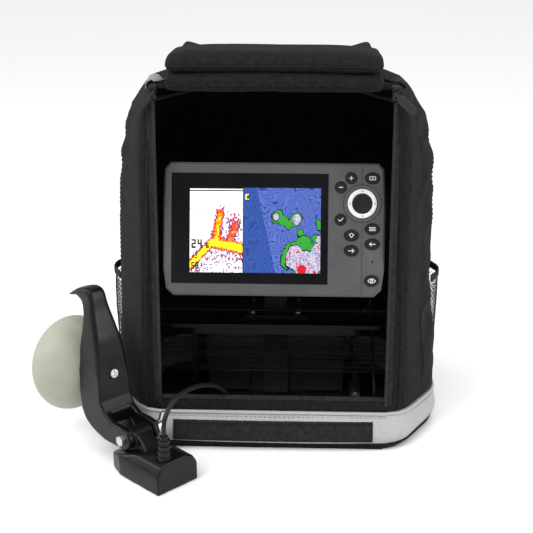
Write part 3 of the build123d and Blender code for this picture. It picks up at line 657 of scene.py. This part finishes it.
def sag(p):
    """Where a point of the bag's cloth hangs: loose swells and creases that fade at stiff seams."""
    loose = fade(p.z, 0.036, 0.075) * (1 - fade(p.z, 0.322, 0.334))
    if p.y < -0.060:
        loose *= 0.30
    outward = Vector((p.x / 0.15, (p.y + 0.005) / 0.09, 0))
    outward = Vector((outward.x**3, outward.y**3, 0))
    if outward.length > 1e-6:
        outward.normalize()
    swell = noise.noise(Vector((p.x * 11, p.y * 11, p.z * 9)) + Vector((3.1, 0.4, 7.7))) * 0.0046
    crease_at = Vector((p.x * 26 + p.z * 12, p.y * 26, p.z * 40 - p.x * 9)) + Vector((1.7, 5.2, 0.3))
    crease = (abs(noise.noise(crease_at)) - 0.25) * 0.0042
    shift = loose * (swell - crease)
    # Beside the suction cup the cloth is drawn in, so that the arm can swing.
    if p.x < -0.12 and p.z < 0.24:
        shift = min(shift, -0.0006)
    return p + outward * shift


def make_bag_cloth():
    """The padded panels as one sewn shell that sags a little."""
    shell = node_copy("bag_cloth", ["side_panels", "back_panel", "top_panel", "front_lip"], 0.0022, 2, 0.0005)
    moved(shell, sag)
    finish_piece(shell, "bag", "nylon")
    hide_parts("side_panels", "back_panel", "top_panel", "front_lip")


def bowed(p):
    """The stuffed band bows out a little across the front."""
    if p.y > -0.05 or p.z > BAND_TOP:
        return p
    share = max(0.0, 1 - (p.x / 0.115)**2) * fade(p.z, -0.004, 0.014) * (1 - fade(p.z, 0.020, BAND_TOP))
    return p - Vector((0, 0.0035 * share, 0))


def make_foot():
    """The light band round the foot, with the black floor panel under it."""
    band = node_copy("foot_band", ["base_band"], 0.0022, rounding=2)

    def rumple(p):
        loose = fade(p.z, 0.004, 0.012) * (1 - fade(p.z, 0.026, 0.036))
        wave = noise.noise(Vector((p.x * 16, p.y * 16, p.z * 30)) + Vector((9, 2, 4)))
        return bowed(p + Vector((p.x, p.y + 0.01, 0)).normalized() * wave * loose * 0.0016)

    moved(band, rumple)
    finish_piece(band, "bag", "band")
    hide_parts("base_band")
    floor = node_copy("floor_panel", ["base_panel"], 0.0028, rounding=1)
    moved(floor, lambda p: Vector((p.x, p.y, max(p.z, 0.0))))
    finish_piece(floor, "bag", "nylon")
    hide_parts("base_panel")


def around(tree, height, lift):
    """Points right round the bag at one height."""
    pairs = []
    for degrees in range(0, 360, 4):
        angle = math.radians(degrees)
        far = Vector((0.4 * math.cos(angle), -0.01 + 0.4 * math.sin(angle), height))
        pairs.append((far, (0, -0.01, height)))
    return hits(tree, pairs, lift)


def upright_path(tree, side, from_xy, to_xy, low, high, lift, step=0.006):
    """A path up the bag where rays from one side meet it."""
    count = int((high - low) / step)
    pairs = []
    for i in range(count + 1):
        z = low + (high - low) * i / count
        pairs.append(((side * from_xy[0], from_xy[1], z), (side * to_xy[0], to_xy[1], z)))
    return hits(tree, pairs, lift)


# Where rays start and end, as (x, y) in metres on the right side, and the height where the line stops.
CORNER_PIPES = [((0.19, -0.19), (0.105, -0.077), 0.326), ((0.20, 0.17), (0.105, 0.072), 0.318)]
UPRIGHT_SEAMS = [((0.1125, -0.3), (0.1125, 0), 0.328), ((0.19, -0.165), (0.112, -0.066), 0.318),
                 ((0.104, 0.3), (0.104, 0), 0.312), ((0.20, 0.135), (0.112, 0.06), 0.312)]


def make_bag_seams():
    """Corner piping, bindings and stitch lines of the bag."""
    walls = tree_of("side_panels", "back_panel", "top_panel", "front_lip")
    foot = tree_of("base_band", "base_panel")
    piping, stitched = [], []
    for side in (-1, 1):
        for start, end, top in CORNER_PIPES:
            piping.append(upright_path(walls, side, start, end, 0.038, top, 0.0004))
        for start, end, top in UPRIGHT_SEAMS:
            stitched.append(upright_path(walls, side, start, end, 0.040, top, 0.0002))
        side_seam = upright_path(walls, side, (0.3, -0.030), (0, -0.030), 0.150, 0.324, 0.0001)
        stitched.append([p + Vector((0, 0.003, 0)) for p in side_seam])
        stitched.append([p - Vector((0, 0.003, 0)) for p in side_seam])
    piping = [[sag(p) for p in path] for path in piping]
    tubes("corner_piping", piping, 0.0017, "bag", "nylon", sides=10)
    stitched.append(level_row(walls, 0.0445, 104, 4, 0.0002))
    stitched.append(level_row(walls, 0.040, 100, 4, 0.0002, side=1))
    stitches("bag_stitching", [[sag(p) for p in path] for path in stitched], "bag")
    top_edge = around(foot, 0.0345, 0.0006)
    low_edge = around(foot, 0.0062, 0.0003)
    tubes("band_piping", [top_edge], 0.0015, "bag", "band", sides=10, closed=True)
    tubes("foot_piping", [low_edge], 0.0016, "bag", "nylon", sides=10, closed=True)
    band_lines = [[bowed(p) for p in around(foot, height, 0.0002)] for height in (0.0310, 0.0100)]
    stitches("band_stitching", [line + line[:1] for line in band_lines], "bag", "grey_thread")
    lip_top = [p + Vector((0, 0, 0.0010)) for p in level_row(walls, 0.0475, 104, 4, -0.0018)]
    ribbon("lip_binding", lip_top, (0, 1, 0), 0.0056, 0.0022, "bag", "webbing")


def make_loop_strip():
    """The pile strip on the band, sewn down round its edge."""
    strip = node_copy("pile_strip", ["loop_strip"], 0.0008, rounding=1)

    def pile(p):
        fuzz = noise.noise(p * 1400) * 0.00035 + noise.noise(p * 300) * 0.0003
        return bowed(p) + Vector((0, -abs(fuzz), fuzz * 0.4))

    moved(strip, pile)
    finish_piece(strip, "bag", "loop")
    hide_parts("loop_strip")
    tree = tree_of("loop_strip")
    lines = []
    for z in (0.0112, 0.0258):
        lines.append(level_row(tree, z, 90, 4, 0.0006))
    for x in (-0.0895, 0.0895):
        lines.append(upright_row(tree, x, range(11, 27, 2), 0.0006, side=-1))
    stitches("strip_stitching", [[bowed(p) for p in line] for line in lines], "bag")


TOOTH_FACES = ((0, 2, 3, 1), (4, 5, 7, 6), (0, 1, 5, 4), (2, 6, 7, 3), (0, 4, 6, 2), (1, 3, 7, 5))


def make_zips():
    """Zip tapes with their teeth, down both sides of the opening."""
    size = Vector((0.0014, 0.0006, 0.0007))
    walls = tree_of("side_panels")
    verts, faces = [], []
    for side in (-1, 1):
        edge = upright_path(walls, side, (0.1075, -0.3), (0.1075, 0), 0.043, 0.331, 0.0006, step=0.004)
        middle = [Vector((side * 0.1055, p.y - 0.0003, p.z)) for p in edge]
        tape = ribbon(f"zip_tape_{'left' if side < 0 else 'right'}", middle, (1, 0, 0), 0.0070, 0.0010, "bag",
                      "zip_tape")
        if side > 0:
            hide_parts("zip_tracks")
        for place in resampled(middle, 0.0023):
            centre = place + Vector((-side * 0.0022, -0.0001, 0))
            start = len(verts)
            for corner in range(8):
                signs = Vector((1 if corner & 1 else -1, 1 if corner & 2 else -1, 1 if corner & 4 else -1))
                taper = 0.72 if signs.x == -side else 1.0
                reach = (signs.x * size.x, signs.y * size.y * taper, signs.z * size.z * taper)
                verts.append(centre + Vector(reach))
            faces += [tuple(start + i for i in face) for face in TOOTH_FACES]
    piece("zip_teeth", verts, faces, "bag", "zip_metal", smooth=False)


def make_pockets():
    """Net pockets: a knotted diamond mesh stretched from the seams, with a gathered binding."""
    tree = tree_of("mesh_pockets")
    pitch = 0.0023
    for side, name in ((-1, "left"), (1, "right")):
        points, order = [], {}
        for i in range(-20, 28):
            for j in range(0, 43):
                if (i + j) % 2:
                    continue
                y, z = i * pitch, 0.0395 + j * pitch
                place = hit(tree, (side * 0.30, y, z), (side * 0.05, y + 0.004, z), -0.0004)
                if place is not None and abs(place.x) > 0.12:
                    sway = noise.noise(place * 40) * 0.0014
                    order[(i, j)] = len(points)
                    points.append(place - Vector((side * abs(sway), 0, sway * 0.6)))
        faces = []
        for i, j in order:
            corners = [(i, j), (i + 1, j + 1), (i, j + 2), (i - 1, j + 1)]
            if all(corner in order for corner in corners):
                faces.append(tuple(order[corner] for corner in corners))
        net = piece(f"net_pocket_{name}", points, faces, None, "mesh")
        wires = net.modifiers.new("threads", "WIREFRAME")
        wires.thickness = 0.0006
        wires.use_even_offset = False
        applied(net)
        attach(net, "bag")
        if side > 0:
            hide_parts("mesh_pockets")
    binding = node_copy("net_binding", ["pocket_binding"], 0.0013, rounding=1)

    def gather(p):
        ripple = math.sin(p.y * 900 + 2 * noise.noise(p * 60)) * 0.0005
        return p + Vector((math.copysign(ripple, p.x), 0, ripple * 0.5))

    moved(binding, gather)
    finish_piece(binding, "bag", "webbing")
    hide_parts("pocket_binding")


def make_flap():
    """The front flap, rolled and folded on top: plump layers with piping and stitches."""
    lower = node_copy("flap_lower", ["flap_lower_fold"], 0.0030, rounding=4)
    upper = node_copy("flap_upper", ["flap_upper_folds"], 0.0030, rounding=4)
    for layer, seed in ((lower, 2.0), (upper, 8.0)):
        puffed(layer, 3.0, 0.0022)

        def slump(p):
            fold = noise.noise(Vector((p.x * 22 + seed, p.y * 14, p.z * 20))) * 0.0013
            long_fold = noise.noise(Vector((p.x * 5, p.z * 90 + seed, p.y * 20))) * 0.0010
            end = fade(abs(p.x), 0.060, 0.094)
            rear = fade(p.y, -0.030, -0.010) if p.z > 0.345 else 0.0
            droop = 0.0045 * fade(-p.y, 0.070, 0.091) + 0.0020 * fade(p.z, 0.351, 0.358) * (1 - rear)
            lift = (0.0085 * end - 0.0035) * rear - droop
            centre, half = (0.343, 0.010) if layer is lower else (0.3545, 0.009)
            bulge = max(0.0, 1 - ((p.z - centre) / half)**2) * fade(-p.y, 0.055, 0.082)
            droop += 0.0012 * bulge
            squeeze = 1 - 0.012 * noise.noise(Vector((p.z * 80, p.y * 30, seed)))
            forward = abs(fold) * 0.4 + 0.0035 * bulge
            return Vector((p.x * squeeze, p.y + long_fold - forward, p.z + fold * 0.6 + lift))

        def resting(p):
            lowest = 0.3342 - 0.006 * fade(-p.y, 0.078, 0.088)
            return Vector((p.x, p.y, min(max(p.z, lowest), 0.3655)))

        moved(layer, slump)
        moved(layer, resting)
    subdivided(lower)
    subdivided(upper)
    finish_piece(lower, "flap", "nylon")
    finish_piece(upper, "flap", "nylon")
    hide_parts("flap_lower_fold")
    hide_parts("flap_upper_folds")
    lines, pipes = [], []
    for layer, shares in ((lower, (0.25,)), (upper, (0.25, 0.62))):
        tree = BVHTree.FromObject(layer, bpy.context.evaluated_depsgraph_get())
        front = min(vert.co.y for vert in layer.data.vertices)
        face = [vert.co.z for vert in layer.data.vertices if vert.co.y < front + 0.008]
        low, high = min(face), max(face)
        for z in (low + share * (high - low) for share in shares):
            lines.append(level_row(tree, z, 88, 3, 0.0001))
        middle = low + 0.45 * (high - low)
        pipes.append(level_row(tree, middle, 90, 3, 0.0002))
        for side in (-1, 1):
            ends = [((side * 0.3, y * MM, middle), (0, y * MM, middle)) for y in range(-84, -30, 3)]
            lines.append(hits(tree, ends, 0.0001))
    stitches("flap_stitching", lines, "flap")
    tubes("flap_piping", pipes, 0.0011, "flap", "nylon", sides=8)


def make_carrying():
    """Shoulder pads, their webbing and the grab handle at the back."""
    pads = node_copy("shoulder_pads", ["shoulder_straps"], 0.0024, rounding=3)
    puffed(pads, 2.0, 0.0015)
    moved(pads, lambda p: p + Vector((0, noise.noise(p * 45) * 0.0008, 0)))
    finish_piece(pads, "bag", "nylon")
    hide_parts("shoulder_straps")
    tree = BVHTree.FromObject(pads, bpy.context.evaluated_depsgraph_get())
    lines, edges = [], []
    for side in (-1, 1):
        for x in (0.0445, 0.0855):
            lines.append(upright_row(tree, side * x, range(98, 296, 4), 0.0002, side=1))
        for x in (0.0395, 0.0905):
            edges.append(upright_row(tree, side * x, range(94, 300, 4), -0.0002, side=1))
        for z in (0.135, 0.190, 0.245):
            quilting = [((side * x * MM, 0.3, z), (side * x * MM, 0, z)) for x in range(47, 85, 3)]
            lines.append(hits(tree, quilting, 0.0002))
    stitches("strap_stitching", lines, "bag")
    tubes("strap_edging", edges, 0.0016, "bag", "webbing", sides=8)
    handle = node_copy("carry_handle", ["grab_handle"], 0.0018, rounding=3)

    def worn(p):
        return Vector((p.x, p.y + noise.noise(p * 50) * 0.0008, p.z - 0.0010 * fade(p.z, 0.33, 0.35)))

    moved(handle, worn)
    finish_piece(handle, "bag", "webbing")
    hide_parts("grab_handle")
    tree = BVHTree.FromObject(handle, bpy.context.evaluated_depsgraph_get())
    lines = []
    for y in (0.0465, 0.0590):
        lines.append(hits(tree, [((x * MM, y, 0.4), (x * MM, y, 0.3)) for x in range(-46, 47, 3)], 0.0001))
    stitches("handle_stitching", lines, "bag")


def make_tags():
    """The light webbing tag at the left of the flap and the dark one at the right."""
    left = [(-0.1120, -0.050, 0.3290), (-0.1095, -0.058, 0.3345), (-0.1040, -0.066, 0.3375),
            (-0.0985, -0.072, 0.3362)]
    right = [(0.1140, -0.046, 0.3280), (0.1100, -0.054, 0.3335), (0.1040, -0.060, 0.3360),
             (0.0980, -0.064, 0.3352)]
    ribbon("tag_left", curve_through(left, 5), (0, 1, 0.1), 0.012, 0.0016, "bag", "webbing", "tag")
    ribbon("tag_right", curve_through(right, 5), (0, 1, 0.1), 0.013, 0.0014, "bag", "webbing")


# ---- Display -----------------------------------------------------------------------------
PICTURE_DEPTH = 0.05
SEGMENTS = {"1": "bc", "2": "abged", "4": "fgbc", "5": "afgcd", "6": "afgedc", "8": "abcdefg"}
# Each reading's digits, left and low edge, and width and height, as shares of the echo picture.
READINGS = [("24", 0.03, 0.285, 0.085, 0.105), ("15", 0.03, 0.165, 0.05, 0.075),
            ("58", 0.03, 0.04, 0.06, 0.08), ("6", 0.31, 0.285, 0.05, 0.06)]
SEGMENT_BOXES = {"a": (0, 1, 0.80, 1), "d": (0, 1, 0, 0.20), "g": (0, 1, 0.40, 0.60), "f": (0, 0.36, 0.5, 1),
                 "b": (0.64, 1, 0.5, 1), "e": (0, 0.36, 0, 0.5), "c": (0.64, 1, 0, 0.5)}


def in_digits(text, x, z, left, low, width, height):
    """Whether a point is in a row of plain seven-bar digits."""
    for place, digit in enumerate(text):
        u = (x - left - place * width * 1.35) / width
        v = (z - low) / height
        if not (0 <= u <= 1 and 0 <= v <= 1):
            continue
        for segment in SEGMENTS[digit]:
            x0, x1, z0, z1 = SEGMENT_BOXES[segment]
            if x0 <= u <= x1 and z0 <= v <= z1:
                return True
    return False


def picture(name, left, right, low, high, cell, paint, colours):
    """A picture made of small coloured cells on the front of the display's window."""
    across = int((right - left) / cell)
    up = int((high - low) / cell)
    verts, faces, slots = [], [], []
    for j in range(up + 1):
        for i in range(across + 1):
            place = Vector((left + (right - left) * i / across, PICTURE_DEPTH, low + (high - low) * j / up))
            verts.append(HEAD @ place)
    names = list(colours)
    for j in range(up):
        for i in range(across):
            a = j * (across + 1) + i
            faces.append((a, a + 1, a + across + 2, a + across + 1))
            slots.append(names.index(paint((i + 0.5) / across, (j + 0.5) / up)))
    materials = [shown_colour(f"{name}_{key}", rgb) for key, rgb in colours.items()]
    piece(name, verts, faces, "display", "screen", materials, slots, smooth=False)


def grain(x, y, size, seed):
    return noise.noise(Vector((x / size + seed, y / size - seed, seed * 1.7)))


def sonar_view(u, v):
    """Echo picture: a bright bottom return with two plumes above it, on white."""
    if v > 0.985 or 0.955 < v < 0.97:
        return "ink"
    if any(in_digits(text, u, v, *box) for text, *box in READINGS):
        return "ink"
    floor_line = 0.08 + 0.66 * u if u < 0.42 else 0.357 - 0.13 * (u - 0.42)
    rough = grain(u, v, 0.035, 4.1) * 0.6 + grain(u, v, 0.013, 7.3) * 0.5
    bed = 1.15 - abs(v - floor_line) / 0.085
    plume = 1 - abs(u - 0.54 - 0.03 * math.sin(v * 11)) / (0.17 - 0.16 * max(0.0, v - 0.35))
    plume = min(plume, (0.80 - v) / 0.14, (v - 0.28) / 0.05)
    second = 1 - abs(u - 0.80 - 0.05 * math.sin(v * 14)) / 0.19
    second = min(second, (0.73 - v) / 0.2, (v - 0.30) / 0.05) * 0.85
    below = 0.0
    if v < floor_line:
        below = 0.27 * (1 - (floor_line - v) / 0.6)
    level = max(bed * 1.15, plume * 0.85, second * 0.72, below) + rough * 0.55
    if max(bed, plume, second, below) <= 0.02 and rough < 0.72:
        return "rule" if abs(v - 0.50) < 0.004 or abs(v - 0.75) < 0.004 else "white"
    if level > 0.78:
        return "yellow"
    if level > 0.55:
        return "orange"
    if level > 0.40:
        return "red"
    if level > 0.24:
        return "purple"
    return "white"


def map_view(u, v):
    """Chart picture: blue water with depth lines, and green shore round pale ground."""
    wobble = grain(u, v, 0.16, 2.2) * 0.05 + grain(u, v, 0.05, 5.5) * 0.02
    blobs = ((0.44, 0.67, 0.075), (0.52, 0.62, 0.06), (0.67, 0.63, 0.085), (0.58, 0.57, 0.045),
             (0.74, 0.48, 0.055), (0.80, 0.37, 0.095), (0.93, 0.42, 0.06), (1.0, 0.55, 0.07),
             (0.62, 0.20, 0.16), (0.80, 0.12, 0.20), (1.0, 0.18, 0.20))
    shore = max(radius - math.hypot(u - x, (v - z) * 0.95) for x, z, radius in blobs) + wobble
    pale_spots = ((0.42, 0.665, 0.045), (0.685, 0.63, 0.055), (0.66, 0.17, 0.14), (0.83, 0.10, 0.17),
                  (1.0, 0.20, 0.15), (0.99, 0.40, 0.05))
    pale = max(radius - math.hypot(u - x, (v - z) * 0.95) for x, z, radius in pale_spots) + wobble * 0.8
    fine = grain(u, v, 0.045, 9.9) + 0.5 * grain(u, v, 0.018, 3.3)
    if pale > 0:
        if pale < 0.010:
            return "ink"
        if fine > 0.42 or math.hypot(u - 0.76, v - 0.04) < 0.06:
            return "red"
        return "ink" if abs(fine) < 0.05 else ("pale" if fine > -0.35 else "stone")
    if shore > 0:
        return "ink" if shore < 0.010 or fine > 0.62 else "green"
    depth = grain(u, v, 0.30, 1.3) * 5 + grain(u, v, 0.10, 6.1) * 1.6 - shore * 6
    if abs(depth * 1.6 - round(depth * 1.6)) < 0.11:
        return "deep"
    if grain(u, v, 0.028, 12.5) > 0.66:
        return "ink"
    if 0.02 < u < 0.07 and 0.86 < v < 0.93:
        return "amber"
    return "blue" if u + 0.25 * v < 0.42 else "sky"


SONAR_COLOURS = {"white": (0.86, 0.86, 0.84), "ink": (0.01, 0.01, 0.015), "rule": (0.45, 0.46, 0.48),
                 "yellow": (0.92, 0.78, 0.02), "orange": (0.85, 0.20, 0.01), "red": (0.60, 0.02, 0.01),
                 "purple": (0.12, 0.03, 0.20)}
MAP_COLOURS = {"blue": (0.028, 0.07, 0.28), "sky": (0.075, 0.12, 0.40), "deep": (0.02, 0.045, 0.18),
               "ink": (0.008, 0.010, 0.02), "green": (0.03, 0.27, 0.03), "pale": (0.46, 0.45, 0.62),
               "stone": (0.22, 0.22, 0.26), "red": (0.50, 0.01, 0.02), "amber": (0.8, 0.6, 0.08)}

# Each key's centre, then the bars (x0, z0, x1, z1) of its sign about that centre, in millimetres.
KEY_MARKS = {
    "key_plus": (67.9, 46.0, [(-1.5, 0, 1.5, 0), (0, -1.5, 0, 1.5)]),
    "key_minus": (58.9, 37.9, [(-1.5, 0, 1.5, 0)]),
    "key_check": (59.0, 9.3, [(-1.8, 0, -0.5, -1.3), (-0.5, -1.3, 2.0, 1.4)]),
    "key_view": (86.6, 46.0, [(-2.6, -1.3, 2.6, -1.3), (2.6, -1.3, 2.6, 1.3), (2.6, 1.3, -2.6, 1.3),
                              (-2.6, 1.3, -2.6, -1.3), (0, -1.3, 0, 1.3)]),
    "key_menu": (87.0, 1.4, [(-2.6, 1.3, 2.6, 1.3), (-2.6, 0, 2.6, 0), (-2.6, -1.3, 2.6, -1.3)]),
    "key_exit": (87.0, -12.0, [(-2.4, 0, 2.6, 0), (-2.4, 0, -0.8, 1.4), (-2.4, 0, -0.8, -1.4)]),
    "key_mark": (68.7, -4.5, [(0, -1.8, -2.0, 0.8), (0, -1.8, 2.0, 0.8), (-2.0, 0.8, 0, 1.9),
                              (2.0, 0.8, 0, 1.9)]),
    "key_goto": (68.7, -17.9, [(-2.6, 0, 2.4, 0), (2.4, 0, 0.8, 1.4), (2.4, 0, 0.8, -1.4)]),
}


BAR_FACES = ((0, 1, 2, 3), (7, 6, 5, 4), (0, 4, 5, 1), (1, 5, 6, 2), (2, 6, 7, 3), (3, 7, 4, 0))


def flat_bar(x0, z0, x1, z1, half, depth, verts, faces):
    """Adds a raised bar on the face of the display at a depth."""
    start, end = Vector((x0, 0, z0)), Vector((x1, 0, z1))
    along = (end - start).normalized()
    side = Vector((-along.z, 0, along.x)) * half
    start, end = start - along * half, end + along * half
    first = len(verts)
    for level in (depth + 0.1, depth):
        for place in (start + side, start - side, end - side, end + side):
            verts.append(HEAD @ (place + Vector((0, level, 0))))
    faces += [tuple(first + i for i in face) for face in BAR_FACES]


def make_key_marks():
    """A raised sign on each key; the power key's is an eye."""
    for node, (x, z, bars) in KEY_MARKS.items():
        verts, faces = [], []
        for x0, z0, x1, z1 in bars:
            flat_bar(x + x0, z + z0, x + x1, z + z1, 0.28, -1.5, verts, faces)
        piece(node + "_sign", verts, faces, BODY_OF[node], "nav", smooth=False)
    x, z, face = 87.0, -44.4, -1.45
    arcs = []
    for upper in (-1, 1):
        lid = [(x + 3.4 * t / 8, face, z + upper * 1.9 * (1 - (t / 8)**2)) for t in range(-8, 9)]
        arcs.append([HEAD @ Vector(p) for p in lid])
    angles = [step * math.pi / 8 for step in range(17)]
    ring = [HEAD @ Vector((x + 0.95 * math.cos(a), face, z + 0.95 * math.sin(a))) for a in angles]
    stroke = [HEAD @ Vector((x, face, z + 0.3)), HEAD @ Vector((x, face, z + 1.5))]
    tubes("key_power_sign", arcs + [ring, stroke], 0.0003, BODY_OF["key_power"], "nav", sides=6)


PAD_X = 77.9
PAD_Z = 23.7


def make_nav_pad():
    """Four-way pad: a satin ring with arrow marks round a dark dished centre, inside a fixed dark rim."""
    place = HEAD @ Matrix.Translation((PAD_X, 0, PAD_Z)) @ OUT_OF_FACE
    outer = [(9.1, -2.3), (12.6, -2.3), (13.0, -1.0), (13.0, 0.2), (12.8, 0.9), (12.3, 1.3), (11.4, 1.45),
             (10.2, 1.4), (9.4, 1.1), (9.0, 0.6)]
    ring = lathe("nav_ring_face", curve_through(outer, 3), place, BODY_OF["nav_ring"], "nav", 96, hollow=True)
    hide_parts("nav_ring")
    centre = [(0.2, -2.0), (8.3, -2.0), (8.85, -0.6), (8.8, 0.4), (8.2, 0.8), (6.5, 0.7), (3.0, 0.45),
              (0.2, 0.4)]
    lathe("nav_centre", curve_through(centre, 3), place, BODY_OF["nav_ring"], "keypad", sides=72)
    surround = [(13.35, -0.4), (13.4, 0.3), (14.0, 0.55), (16.0, 0.55), (16.7, 0.3), (16.9, -0.2)]
    lathe("nav_surround", curve_through(surround, 3), place, "display", "keypad", 96, hollow=True)
    verts, faces = [], []
    for turn in range(4):
        angle = math.pi / 2 * turn
        tip = (PAD_X + 11.7 * math.cos(angle), PAD_Z + 11.7 * math.sin(angle))
        for spread in (-1, 1):
            side = angle + spread * 0.10
            foot = (PAD_X + 10.4 * math.cos(side), PAD_Z + 10.4 * math.sin(side))
            flat_bar(*foot, *tip, 0.18, -1.5, verts, faces)
    piece("nav_arrows", verts, faces, BODY_OF["nav_ring"], "keypad", smooth=False)


def make_display():
    """What the screen shows, the key signs, the four-way pad and the status light."""
    picture("sonar_picture", -74.4, -27.5, -38.4, 36.8, 0.36, sonar_view, SONAR_COLOURS)
    picture("map_picture", -26.9, 41.4, -38.4, 36.8, 0.36, map_view, MAP_COLOURS)
    make_key_marks()
    make_nav_pad()
    place = HEAD @ Matrix.Translation((87.4, 0, -27.9)) @ OUT_OF_FACE
    lathe("status_light", [(0.1, 0.02), (0.5, 0.05), (0.8, 0.16), (1.0, 0.04), (1.1, -0.2)], place, "display",
          "keypad", sides=24)


# ---- Transducer --------------------------------------------------------------------------
# The arm is smoothed more above this height, in metres, which is clear of the ears at its foot.
ARM_SMOOTHED_ABOVE = 0.082


def make_transducer():
    """Moulded puck, hooked arm and soft suction cup, with their edges rounded as moulded."""
    for node in ("transducer_body", "mount_arm"):
        rounded = node_copy(node + "_moulded", [node], 0.0009, rounding=14)
        softened(rounded, 40, lambda p: p.z > ARM_SMOOTHED_ABOVE)
        finish_piece(rounded, BODY_OF[node], "gloss_black")
        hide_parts(node)
    droop = math.radians(8)
    aim_z = Vector((0, math.cos(droop), -math.sin(droop)))
    aim_x = Vector((1, 0, 0))
    aim_y = aim_z.cross(aim_x)
    basis = Matrix((aim_x, aim_y, aim_z)).transposed().to_4x4()
    place = SONAR @ Matrix.Translation((0, 86.5, 80.5)) @ basis
    back = [(2.3, 7.6), (8.4, 7.6), (9.0, 9.0), (9.0, 18.0), (9.1, 28.0), (10.4, 32.0), (15.0, 34.2),
            (22.0, 37.6), (28.0, 41.3), (34.0, 46.2), (38.4, 51.2), (41.8, 56.4), (43.8, 61.0), (44.4, 63.6)]
    front = [(43.9, 63.9), (42.6, 63.0), (40.6, 60.6), (37.6, 57.4), (30.0, 51.9), (22.0, 48.7), (14.0, 46.6),
             (6.0, 45.4), (0.3, 45.2)]
    cup = lathe("cup_soft", curve_through(back + front, 4), place, "cup", "cup_rubber", sides=112)
    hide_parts("suction_cup")


# ---- The whole scene ---------------------------------------------------------------------
make_camera()
make_studio()
MATERIALS = make_materials()
make_cable()
for node, obj in NODES.items():
    obj.data.materials.clear()
    obj.data.materials.append(MATERIALS[SLOT_OF[node]])

make_bag_cloth()
make_foot()
make_bag_seams()
make_loop_strip()
make_zips()
make_pockets()
make_flap()
make_carrying()
make_tags()
make_display()
make_transducer()
